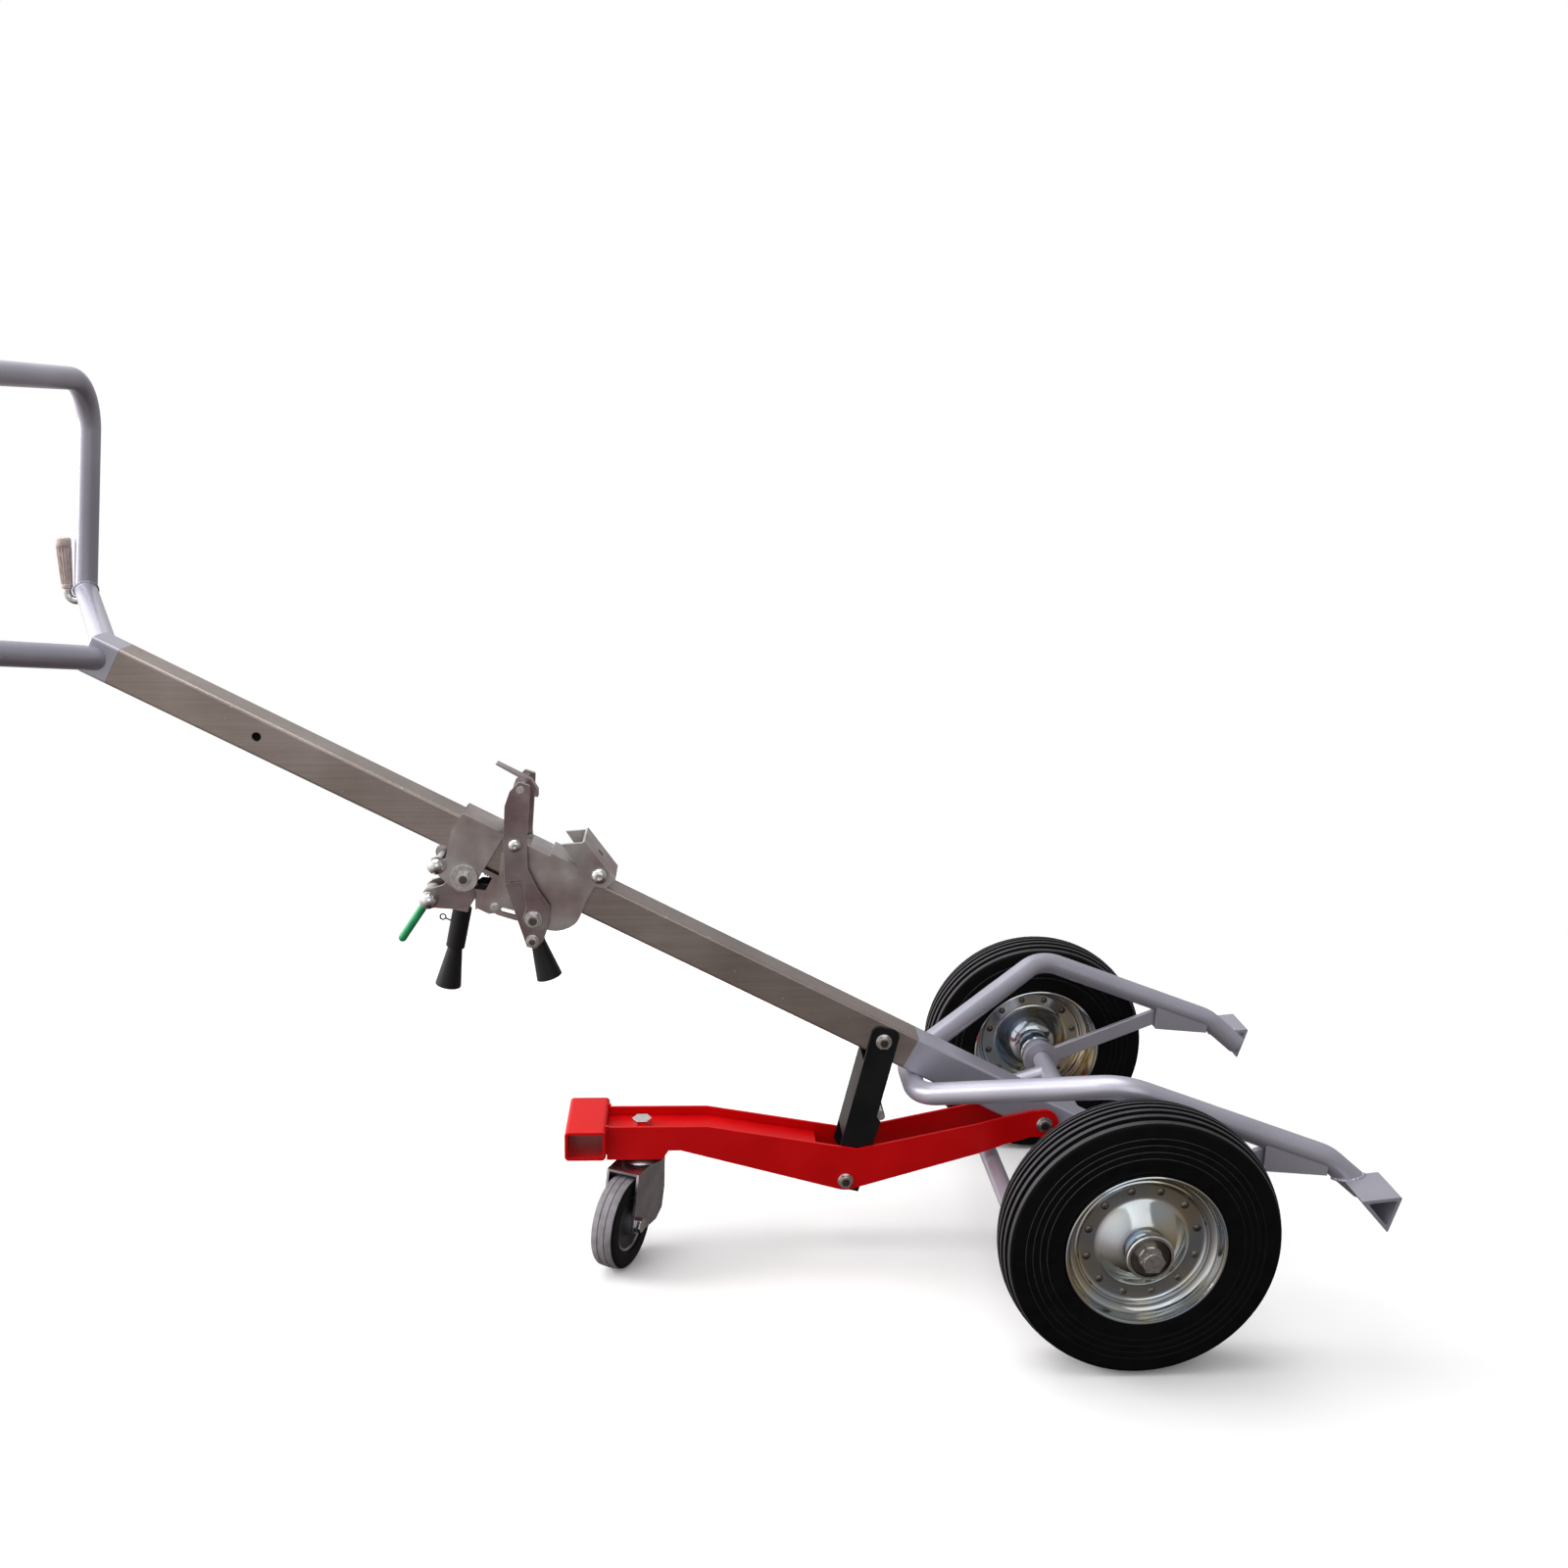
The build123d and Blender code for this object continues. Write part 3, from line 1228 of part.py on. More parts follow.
hook_grip_plane, hook_grip_length = grip_line(toe_pin, hook_grip_tip)
with BuildPart() as hook_grip:
    rod(clamp_plane, toe_pin, hook_grip_boss_d / 2, -hook_grip_boss_half, hook_grip_boss_half)
    with Locations(hook_grip_plane):
        Cylinder(hook_grip_neck_d / 2, hook_grip_neck + 1.0, align=from_below)
    with Locations(hook_grip_plane.offset(hook_grip_neck)):
        Cone(hook_grip_neck_d / 2, grip_end_d / 2, hook_grip_length - hook_grip_neck, align=from_below)
    drill(toe_pin, toe_bolt_d / 2 + hole_fit)
write(hook_grip, "hook_grip")

# Support jaw under the drum rim
cheek = (
    (jaw_pin[0] + 45.0, jaw_pin[1] + 11.5),
    (jaw_pin[0] + 28.8, jaw_pin[1] + 21.7),
    (jaw_pin[0] - 14.2, jaw_pin[1] + 0.3),
    (jaw_pin[0] - 11.0, jaw_pin[1] - 8.5),
    (jaw_pin[0] - 1.0, jaw_pin[1] - 11.5),
    (jaw_pin[0] + 9.0, jaw_pin[1] - 8.5),
)
face = (
    (jaw_pin[0] + 28.8, jaw_pin[1] + 21.7),
    (jaw_pin[0] - 14.2, jaw_pin[1] + 0.3),
    (jaw_pin[0] - 15.5, jaw_pin[1] + 3.0),
    (jaw_pin[0] + 27.5, jaw_pin[1] + 24.4),
)
with BuildPart() as support_jaw:
    for side in (-1, 1):
        plate(clamp_plane, cheek, *sorted((side * jaw_in, side * jaw_out)))
    plate(clamp_plane, face, -jaw_out, jaw_out)
    drill(jaw_pin, bolt_bore)
write(support_jaw, "support_jaw")
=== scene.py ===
import json
from math import cos, pi, radians, sin, sqrt

import bmesh
import bpy
from bpy.props import FloatProperty, FloatVectorProperty, IntProperty, PointerProperty
from mathutils import Matrix, Vector

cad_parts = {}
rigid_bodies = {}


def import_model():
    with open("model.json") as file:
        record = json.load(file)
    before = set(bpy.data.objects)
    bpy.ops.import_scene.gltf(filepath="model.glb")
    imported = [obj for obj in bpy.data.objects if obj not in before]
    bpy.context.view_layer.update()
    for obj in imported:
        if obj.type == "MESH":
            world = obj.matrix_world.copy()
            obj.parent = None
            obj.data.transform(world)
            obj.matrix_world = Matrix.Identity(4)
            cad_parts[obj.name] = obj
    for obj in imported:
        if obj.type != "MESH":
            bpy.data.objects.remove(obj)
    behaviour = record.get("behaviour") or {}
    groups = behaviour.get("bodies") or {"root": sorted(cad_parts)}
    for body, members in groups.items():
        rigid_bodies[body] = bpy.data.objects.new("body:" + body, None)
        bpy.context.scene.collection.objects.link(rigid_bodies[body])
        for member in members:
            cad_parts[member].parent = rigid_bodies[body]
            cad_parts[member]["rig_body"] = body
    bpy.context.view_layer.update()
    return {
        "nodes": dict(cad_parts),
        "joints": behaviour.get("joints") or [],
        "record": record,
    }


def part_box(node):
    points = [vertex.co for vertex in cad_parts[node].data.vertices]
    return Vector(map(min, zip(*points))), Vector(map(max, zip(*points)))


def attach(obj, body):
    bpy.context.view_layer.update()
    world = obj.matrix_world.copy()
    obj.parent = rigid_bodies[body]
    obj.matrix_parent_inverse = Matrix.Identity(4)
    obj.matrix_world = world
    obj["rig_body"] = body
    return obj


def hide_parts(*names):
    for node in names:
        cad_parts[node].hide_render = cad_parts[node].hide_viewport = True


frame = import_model()

bl_info = {
    "name": "Drum truck",
    "version": (1, 0, 0),
    "blender": (4, 5, 0),
    "location": "3D View > Sidebar > Drum truck",
    "description": "Dresses the drum truck's solids with finished pieces, materials and a studio",
    "category": "Object",
}

MM = 0.001
WELD = 0.00001
SHARP = radians(32)
# Most values of a noise pattern lie between these two
PATTERN_LOW = 0.3
PATTERN_HIGH = 0.7
JOINTS = {joint["name"]: joint for joint in frame["joints"]}
SLOT_OF = {part["node"]: part["material_slot"] for part in frame["record"]["subparts"]}

# Axes of the truck, all read from the frame
AXLE = Vector(JOINTS["right_wheel_spin"]["pos_m"])
ALONG = Vector(JOINTS["carriage_slide"]["axis"]).normalized()
ACROSS = Vector((ALONG.z, 0, -ALONG.x))
SIDE = Vector((0, 1, 0))
UP = Vector((0, 0, 1))


def middle(node):
    """Middle of a node's box, in metres."""
    low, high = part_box(node)
    return (Vector(low) + Vector(high)) / 2


def half_size(node):
    """Half of a node's box, in metres."""
    low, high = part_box(node)
    return (Vector(high) - Vector(low)) / 2


def pivot(joint):
    """Place of a joint, in metres."""
    return Vector(JOINTS[joint]["pos_m"])


def on_mast(along, across, side=0.0):
    """Point given in millimetres up along the mast from the axle, across it and to the side."""
    return AXLE + (ALONG * along + ACROSS * across + SIDE * side) * MM


# Places of small fittings that have no joint of their own
EAR_BOLT = on_mast(626.0, -51.0)
TOE_BOLT = on_mast(580.0, -64.0)
ARM_STUD = on_mast(636.0, 14.0)
CLIP_EYE = on_mast(665.0, -89.5)
SPRING_END = on_mast(634.0, -29.6)
HANDLE_ROOT = on_mast(1035.5, -3.5)


def linear(text):
    """Linear RGBA from an sRGB hex colour."""
    channels = [int(text[i:i + 2], 16) / 255 for i in (1, 3, 5)]
    return tuple(c / 12.92 if c < 0.04045 else ((c + 0.055) / 1.055) ** 2.4 for c in channels) + (1.0,)


def add_node(tree, kind, settings=None, **inputs):
    """Adds one node, sets its attributes and colour stops, and sets or links its inputs."""
    node = tree.nodes.new(kind)
    for key, value in (settings or {}).items():
        if key == "stops":
            points = node.color_ramp.elements
            while len(points) < len(value):
                points.new(0.5)
            for point, (position, colour) in zip(points, value):
                point.position = position
                point.color = linear(colour)
        else:
            setattr(node, key, value)
    for key, value in inputs.items():
        socket = node.inputs[int(key[1:])] if key[0] == "_" else node.inputs[key.replace("_", " ")]
        if isinstance(value, bpy.types.NodeSocket):
            tree.links.new(value, socket)
        else:
            socket.default_value = value
    return node


def new_material(name):
    """Empty node material with its Object coordinates."""
    material = bpy.data.materials.new(name)
    material.use_nodes = True
    tree = material.node_tree
    tree.nodes.clear()
    place = add_node(tree, "ShaderNodeTexCoord").outputs["Object"]
    return material, tree, place


def pattern(tree, place, period_mm, detail, stretch=(1.0, 1.0, 1.0), turn=(0.0, 0.0, 0.0)):
    """Grey pattern whose blotches are about period_mm wide, turned and stretched."""
    spot = add_node(tree, "ShaderNodeMapping", Vector=place, Rotation=turn, Scale=stretch)
    scale = 1 / (period_mm * MM)
    grain = add_node(tree, "ShaderNodeTexNoise", Vector=spot.outputs[0], Scale=scale, Detail=detail)
    return grain.outputs[0]


def finished(material, colour, rough, relief, **constants):
    """Closes a material with its colour, roughness, relief and plain values.

    Colour is a socket or a pattern with its colour stops, rough a pattern with the roughness at its low and
    high end, relief a pattern with its depth in mm.
    """
    tree = material.node_tree
    if isinstance(colour, tuple):
        tone, stops = colour
        colour = add_node(tree, "ShaderNodeValToRGB", {"stops": stops}, Fac=tone).outputs[0]
    dull, low, high = rough
    gloss = add_node(
        tree, "ShaderNodeMapRange", Value=dull, _1=PATTERN_LOW, _2=PATTERN_HIGH, _3=low, _4=high
    )
    height, depth_mm = relief
    skin = add_node(tree, "ShaderNodeBump", Height=height, Strength=1.0, Distance=depth_mm * MM)
    shader = add_node(
        tree,
        "ShaderNodeBsdfPrincipled",
        Base_Color=colour,
        Roughness=gloss.outputs[0],
        Normal=skin.outputs[0],
        **constants,
    )
    add_node(tree, "ShaderNodeOutputMaterial", Surface=shader.outputs[0])
    return material


def drawn_zinc_steel():
    """Zinc-plated drawn tube: dull warm grey with faint lengthwise streaks and handling marks."""
    material, tree, place = new_material("drawn_zinc_steel")
    lie = (0.0, -ALONG.angle(Vector((-1, 0, 0))), 0.0)
    streaks = pattern(tree, place, 2.5, 4.0, (0.02, 1.0, 1.0), lie)
    clouds = pattern(tree, place, 70.0, 4.0)
    specks = pattern(tree, place, 3.0, 2.0, (0.5, 1.0, 1.0), lie)
    tone = add_node(tree, "ShaderNodeMix", {"data_type": "FLOAT"}, _0=0.6, _2=streaks, _3=clouds).outputs[0]
    stops = ((0.3, "#958984"), (0.5, "#a39893"), (0.7, "#b1a8a3"))
    plating = add_node(tree, "ShaderNodeValToRGB", {"stops": stops}, Fac=tone).outputs[0]
    stops = ((0.72, "#000000"), (0.78, "#ffffff"))
    marks = add_node(tree, "ShaderNodeValToRGB", {"stops": stops}, Fac=specks).outputs[0]
    layers = {"data_type": "RGBA"}
    worn = linear("#cac4be")
    colour = add_node(tree, "ShaderNodeMix", layers, _0=marks, _6=plating, _7=worn).outputs[2]
    return finished(material, colour, (tone, 0.3, 0.46), (streaks, 0.03), Metallic=0.9)


def pressed_zinc_plate(name, dark, middling, light):
    """Zinc-plated pressed sheet: satin grey and cloudy, with pinkish patches and faint rolling lines."""
    material, tree, place = new_material(name)
    clouds = pattern(tree, place, 26.0, 5.0)
    rolling = pattern(tree, place, 1.4, 3.0, (0.06, 1.0, 1.0))
    blots = pattern(tree, place, 55.0, 2.0)
    tone = add_node(tree, "ShaderNodeMix", {"data_type": "FLOAT"}, _0=0.85, _2=rolling, _3=clouds).outputs[0]
    stops = ((0.32, dark), (0.5, middling), (0.68, light))
    plating = add_node(tree, "ShaderNodeValToRGB", {"stops": stops}, Fac=tone).outputs[0]
    stops = ((0.42, "#ffffff"), (0.62, "#ead8d9"))
    patches = add_node(tree, "ShaderNodeValToRGB", {"stops": stops}, Fac=blots).outputs[0]
    layers = {"data_type": "RGBA", "blend_type": "MULTIPLY"}
    colour = add_node(tree, "ShaderNodeMix", layers, _0=1.0, _6=plating, _7=patches).outputs[2]
    return finished(material, colour, (clouds, 0.26, 0.42), (rolling, 0.005), Metallic=0.92)


def bright_zinc():
    """Bright zinc of bolts and nuts: clear, hard highlights over fine tumbling marks."""
    material, tree, place = new_material("bright_zinc")
    marks = pattern(tree, place, 4.0, 3.0)
    stops = ((0.35, "#cdcdcf"), (0.65, "#e4e3e1"))
    return finished(material, (marks, stops), (marks, 0.14, 0.26), (marks, 0.01), Metallic=1.0)


def chromated_rim_zinc():
    """Spun disc in clear-chromated zinc: mirror-like, with blue and straw tints and spinning rings."""
    material, tree, place = new_material("chromated_rim_zinc")
    tints = pattern(tree, place, 60.0, 2.0)
    smears = pattern(tree, place, 9.0, 4.0)
    from_axle = {"operation": "MULTIPLY_ADD"}
    flat = add_node(tree, "ShaderNodeVectorMath", from_axle, _0=place, _1=(1, 0, 1), _2=-AXLE).outputs[0]
    reach = add_node(tree, "ShaderNodeVectorMath", {"operation": "LENGTH"}, _0=flat).outputs["Value"]
    line = {"noise_dimensions": "1D"}
    ring_mm = 1.6
    scale = 1 / (ring_mm * MM)
    rings = add_node(tree, "ShaderNodeTexNoise", line, W=reach, Scale=scale, Detail=3.0).outputs[0]
    stops = ((0.34, "#aebac8"), (0.5, "#bcc0c0"), (0.66, "#c9bfa4"))
    return finished(material, (tints, stops), (smears, 0.08, 0.2), (rings, 0.03), Metallic=1.0)


def dull_zinc(name, dark, light):
    """Thick dull zinc: cloudy grey with a blurred sheen."""
    material, tree, place = new_material(name)
    clouds = pattern(tree, place, 18.0, 4.0)
    grain = pattern(tree, place, 0.9, 2.0)
    stops = ((0.35, dark), (0.65, light))
    return finished(material, (clouds, stops), (clouds, 0.2, 0.34), (grain, 0.02), Metallic=1.0)


def silver_powder_coat():
    """Silver-grey powder coat: metal flake under a satin skin with a slight orange peel.

    Real flake is finer; it is drawn at 0.6 mm so that it shows.
    """
    material, tree, place = new_material("silver_powder_coat")
    flake = pattern(tree, place, 0.6, 2.0)
    peel = pattern(tree, place, 2.2, 2.0)
    clouds = pattern(tree, place, 120.0, 3.0)
    tone = add_node(tree, "ShaderNodeMix", {"data_type": "FLOAT"}, _0=0.5, _2=flake, _3=clouds).outputs[0]
    stops = ((0.35, "#a1a0af"), (0.5, "#afaebb"), (0.65, "#bdbcc8"))
    return finished(material, (tone, stops), (flake, 0.29, 0.4), (peel, 0.04), Metallic=0.55)


def red_gloss_enamel():
    """Red stove enamel: deep red, glossy, with a slight orange peel and duller rubbed patches."""
    material, tree, place = new_material("red_gloss_enamel")
    clouds = pattern(tree, place, 60.0, 4.0)
    peel = pattern(tree, place, 2.6, 2.0)
    stops = ((0.3, "#c00207"), (0.5, "#cb0409"), (0.72, "#d40a0e"))
    shine = {"IOR": 1.5, "Specular_IOR_Level": 0.18}
    return finished(material, (clouds, stops), (clouds, 0.3, 0.42), (peel, 0.05), **shine)


def black_dip_paint():
    """Black dip paint on folded sheet: satin, faintly uneven."""
    material, tree, place = new_material("black_dip_paint")
    clouds = pattern(tree, place, 35.0, 4.0)
    peel = pattern(tree, place, 2.0, 2.0)
    stops = ((0.35, "#09090a"), (0.65, "#121214"))
    shine = {"IOR": 1.5, "Specular_IOR_Level": 0.25}
    return finished(material, (clouds, stops), (clouds, 0.36, 0.5), (peel, 0.04), **shine)


def moulded_black_plastic():
    """Moulded black grip plastic: near black with a fine matt texture."""
    material, tree, place = new_material("moulded_black_plastic")
    grain = pattern(tree, place, 0.8, 2.0)
    stops = ((0.35, "#0c0c10"), (0.65, "#141419"))
    shine = {"IOR": 1.49, "Specular_IOR_Level": 0.35}
    return finished(material, (grain, stops), (grain, 0.36, 0.5), (grain, 0.05), **shine)


def beige_grip_plastic():
    """Soft beige-grey grip plastic: matt, with dirtier blotches."""
    material, tree, place = new_material("beige_grip_plastic")
    dirt = pattern(tree, place, 6.0, 4.0)
    stops = ((0.3, "#a79792"), (0.6, "#cbbcb6"))
    return finished(material, (dirt, stops), (dirt, 0.55, 0.7), (dirt, 0.1), IOR=1.49)


def green_plastic_dip():
    """Green vinyl dip over a steel lever: smooth, semi-gloss, slightly uneven."""
    material, tree, place = new_material("green_plastic_dip")
    clouds = pattern(tree, place, 12.0, 3.0)
    stops = ((0.35, "#1a8a55"), (0.65, "#259f66"))
    return finished(material, (clouds, stops), (clouds, 0.3, 0.42), (clouds, 0.2), IOR=1.52)


def rubber(name, dark, light, period_mm=9.0, gloss=0.3):
    """Cured rubber: matt, with a dusty bloom."""
    material, tree, place = new_material(name)
    bloom = pattern(tree, place, period_mm, 5.0)
    skin = pattern(tree, place, 0.9, 2.0)
    stops = ((0.35, dark), (0.7, light))
    shine = {"IOR": 1.52, "Specular_IOR_Level": gloss}
    return finished(material, (bloom, stops), (bloom, 0.5, 0.68), (skin, 0.05), **shine)


def studio_floor():
    """Matt pale floor with a hardly visible mottle, fading out round its edge."""
    material, tree, place = new_material("studio_floor")
    mottle = pattern(tree, place, 400.0, 2.0)
    stops = ((0.3, "#f6f6f6"), (0.7, "#fafafa"))
    colour = add_node(tree, "ShaderNodeValToRGB", {"stops": stops}, Fac=mottle).outputs[0]
    reach = add_node(tree, "ShaderNodeVectorMath", {"operation": "LENGTH"}, _0=place).outputs["Value"]
    smooth = {"interpolation_type": "SMOOTHSTEP"}
    fade = add_node(tree, "ShaderNodeMapRange", smooth, Value=reach, _1=0.7, _2=1.8, _3=1.0, _4=0.0)
    shader = add_node(
        tree,
        "ShaderNodeBsdfPrincipled",
        Base_Color=colour,
        Roughness=0.9,
        Specular_IOR_Level=0.1,
        Alpha=fade.outputs[0],
    )
    add_node(tree, "ShaderNodeOutputMaterial", Surface=shader.outputs[0])
    return material


FINISHES = {
    "mast_zinc": drawn_zinc_steel,
    "clamp_zinc": lambda: pressed_zinc_plate("pressed_zinc_plate", "#aba7a7", "#bab7b6", "#ccc9c8"),
    # Darker copy of the clamp zinc for the hook arms and pump plates: painted shade that parts them from the
    # saddles
    "shaded_arm_zinc": lambda: pressed_zinc_plate("pressed_shaded_zinc", "#908688", "#9e9496", "#aea5a6"),
    "bolt_zinc": bright_zinc,
    "rim_zinc": chromated_rim_zinc,
    "fork_zinc": lambda: dull_zinc("dull_fork_zinc", "#a3a1a7", "#b6b4ba"),
    "aged_zinc": lambda: dull_zinc("aged_zinc", "#5f5854", "#757069"),
    "silver_paint": silver_powder_coat,
    "red_paint": red_gloss_enamel,
    "black_paint": black_dip_paint,
    "black_plastic": moulded_black_plastic,
    "beige_plastic": beige_grip_plastic,
    "green_dip": green_plastic_dip,
    "tyre_rubber": lambda: rubber("black_tyre_rubber", "#020203", "#060607", 14.0, 0.12),
    # Lighter rubber on the tyre's rib tops and on one facet of each sidewall ring: a painted highlight
    "tyre_lit_facet": lambda: rubber("lit_facet_rubber", "#2b292d", "#3c3a3f", 9.0, 0.4),
    "grey_rubber": lambda: rubber("grey_castor_rubber", "#78757a", "#8f8c91"),
    "castor_side": lambda: rubber("black_castor_rubber", "#050507", "#0b0b0d", 9.0, 0.2),
    "castor_core": lambda: rubber("dark_castor_plastic", "#3a3c3f", "#4a4c50", 20.0, 0.5),
}
made_finishes = {}
# Nuts and heads of bright zinc, their bolts' ends duller
FASTENER = ["bolt_zinc", "aged_zinc"]


def finish_of(name):
    """The material of that name, made on first use."""
    if name not in made_finishes:
        made_finishes[name] = FINISHES[name]()
    return made_finishes[name]


def round_edges(mesh, width_mm, segments=2, chosen=None, material=-1):
    """Rounds every sharp edge of a welded mesh, or only those that a rule on their two ends chooses.

    The rounding gets the material of that index, or by default that of the faces beside it.
    """
    edges = [e for e in mesh.edges if len(e.link_faces) == 2 and e.calc_face_angle(0) > SHARP]
    if chosen:
        edges = [e for e in edges if chosen(e.verts[0].co, e.verts[1].co)]
    if edges:
        bmesh.ops.bevel(
            mesh,
            geom=edges,
            offset=width_mm * MM,
            segments=segments,
            profile=0.5,
            affect="EDGES",
            clamp_overlap=chosen is None,
            material=material,
        )


def held(mesh):
    """Object that holds a mesh while modifiers work on it."""
    data = bpy.data.meshes.new("held")
    mesh.to_mesh(data)
    mesh.free()
    holder = bpy.data.objects.new("held", data)
    bpy.context.scene.collection.objects.link(holder)
    return holder


def worked(holder):
    """Plain mesh data that an object's modifiers make; the object goes."""
    bpy.context.view_layer.update()
    made = bpy.data.meshes.new_from_object(holder.evaluated_get(bpy.context.evaluated_depsgraph_get()))
    bpy.data.objects.remove(holder)
    return made


def opened(data):
    """Editable mesh of plain mesh data, which goes."""
    mesh = bmesh.new()
    mesh.from_mesh(data)
    bpy.data.meshes.remove(data)
    return mesh


def install(mesh, name, body, finishes, stands_for=()):
    """Makes a piece of a mesh, gives it its materials and lets it ride on a body.

    Weighted normals keep large flat faces flat beside their rounded edges.
    """
    bmesh.ops.recalc_face_normals(mesh, faces=mesh.faces)
    holder = held(mesh)
    for face in holder.data.polygons:
        face.use_smooth = True
    holder.data.set_sharp_from_angle(angle=SHARP)
    holder.modifiers.new("Even", "WEIGHTED_NORMAL").keep_sharp = True
    data = worked(holder)
    data.name = name
    for finish in finishes:
        data.materials.append(finish_of(finish))
    piece = bpy.data.objects.new(name, data)
    bpy.context.scene.collection.objects.link(piece)
    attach(piece, body)
    if stands_for:
        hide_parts(*stands_for)


def carved(mesh, cutter):
    """Mesh with the shape of another cut out of it."""
    whole, tool = held(mesh), held(cutter)
    modifier = whole.modifiers.new("Cut", "BOOLEAN")
    modifier.object = tool
    modifier.operation = "DIFFERENCE"
    cut = opened(worked(whole))
    bpy.data.objects.remove(tool)
    return cut


# Rounding of edges in millimetres, on pieces where it isn't the usual one
EDGE_MM = {
    "castor_fork": 0.7,
    "castor_axle": 0.8,
    "upper_saddle": 1.1,
    "lower_saddle": 1.1,
    "saddle_link": 0.9,
    "pump_plates": 1.1,
    "pump_socket": 0.5,
    "pump_grip": 0.8,
    "release_lever": 0.5,
    "hook_arm_left": 0.9,
    "hook_arm_right": 0.9,
    "hook_grip": 0.8,
    "support_jaw": 0.5,
}


def softened(node, finish=None, highlight_edge_finish=None, cutter=None, folds=None, fold_mm=2.0, bare=None):
    """Finished copy of a solid: seams welded, flat faces joined, openings cut, folds and edges rounded.

    Rounded edges may have a brighter finish of their own, partly bright cut edges and partly a painted
    highlight. Faces that the rule bare chooses by their middles are plain plated steel.
    """
    source = frame["nodes"][node]
    mesh = bmesh.new()
    mesh.from_mesh(source.data)
    bmesh.ops.remove_doubles(mesh, verts=mesh.verts, dist=WELD)
    bmesh.ops.dissolve_limit(mesh, angle_limit=radians(0.5), verts=mesh.verts, edges=mesh.edges)
    if cutter:
        mesh = carved(mesh, cutter)
    if folds:
        round_edges(mesh, fold_mm, segments=5, chosen=folds)
    width_mm = EDGE_MM.get(node, bpy.context.scene.truck_sizes.edge)
    # A given edge finish is brighter zinc on the rounding: partly bright cut edges, partly a painted
    # highlight
    round_edges(mesh, width_mm, material=1 if highlight_edge_finish else -1)
    slot = SLOT_OF[node]
    finishes = [finish or slot]
    if highlight_edge_finish:
        finishes.append(highlight_edge_finish)
    if bare:
        finishes.append("clamp_zinc")
        for face in mesh.faces:
            face.material_index = 1 if bare(face.calc_center_median()) else 0
    install(mesh, node + "_piece", source["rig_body"], finishes, [node])


def turned(profile, origin, axis, steps, closed=True, groups=None, flutes=None):
    """Profile of (radius, height) points in millimetres, turned about an axis through origin.

    Flutes, where given, are a count, a depth and the lowest and highest heights that they reach.
    """
    mesh = bmesh.new()
    axis = Vector(axis).normalized()
    first = axis.orthogonal().normalized()
    second = axis.cross(first)
    rings = []
    for step in range(steps):
        angle = 2 * pi * step / steps
        out = first * cos(angle) + second * sin(angle)
        ring = []
        for radius, height in profile:
            if flutes and flutes[2] < height < flutes[3]:
                radius -= flutes[1] * (0.5 - 0.5 * cos(flutes[0] * angle))
            ring.append(mesh.verts.new(origin + (out * radius + axis * height) * MM))
        rings.append(ring)
    spans = len(profile) if closed else len(profile) - 1
    for step in range(steps):
        here, there = rings[step], rings[(step + 1) % steps]
        for i in range(spans):
            j = (i + 1) % len(profile)
            if profile[i][0] == 0 and profile[j][0] == 0:
                continue
            face = mesh.faces.new((here[i], here[j], there[j], there[i]))
            face.material_index = groups[i] if groups else 0
    bmesh.ops.remove_doubles(mesh, verts=mesh.verts, dist=WELD)
    return mesh


def arc(centre, radius, start, end, steps):
    """Points of a round stretch of a profile, angles in degrees."""
    points = []
    for i in range(steps + 1):
        angle = radians(start + (end - start) * i / steps)
        points.append((centre[0] + radius * cos(angle), centre[1] + radius * sin(angle)))
    return points


def node_tree(name, inputs):
    """Geometry node tree with named inputs, and the node that gives them."""
    tree = bpy.data.node_groups.new(name, "GeometryNodeTree")
    tree.interface.new_socket("Geometry", in_out="INPUT", socket_type="NodeSocketGeometry")
    for label, kind in inputs:
        tree.interface.new_socket(label, in_out="INPUT", socket_type="NodeSocket" + kind)
    tree.interface.new_socket("Geometry", in_out="OUTPUT", socket_type="NodeSocketGeometry")
    return tree, add_node(tree, "NodeGroupInput")


def end_tree(tree, geometry, material, chosen=None, second=None):
    """Ends a tree in Realize Instances and Set Material, with a second material on chosen faces."""
    real = add_node(tree, "GeometryNodeRealizeInstances", Geometry=geometry)
    painted = add_node(tree, "GeometryNodeSetMaterial", Geometry=real.outputs[0], Material=material)
    if chosen:
        painted = add_node(
            tree, "GeometryNodeSetMaterial", Geometry=painted.outputs[0], Selection=chosen, Material=second
        )
    add_node(tree, "NodeGroupOutput", Geometry=painted.outputs[0])


def grown(tree, host, values):
    """Plain mesh that a node tree makes on a host mesh with the given input values."""
    holder = held(host)
    modifier = holder.modifiers.new("Grow", "NODES")
    modifier.node_group = tree
    for item in tree.interface.items_tree:
        if item.in_out == "INPUT" and item.name in values:
            modifier[item.identifier] = values[item.name]
    made = worked(holder)
    used = [index for index, material in enumerate(made.materials) if material]
    mesh = opened(made)
    for face in mesh.faces:
        face.material_index = used.index(face.material_index)
    return mesh


def seats(points):
    """Host mesh for fasteners: one vertex per seat, with the way it faces."""
    mesh = bmesh.new()
    facing = mesh.verts.layers.float_vector.new("facing")
    for place, outward in points:
        mesh.verts.new(place)[facing] = outward
    return mesh


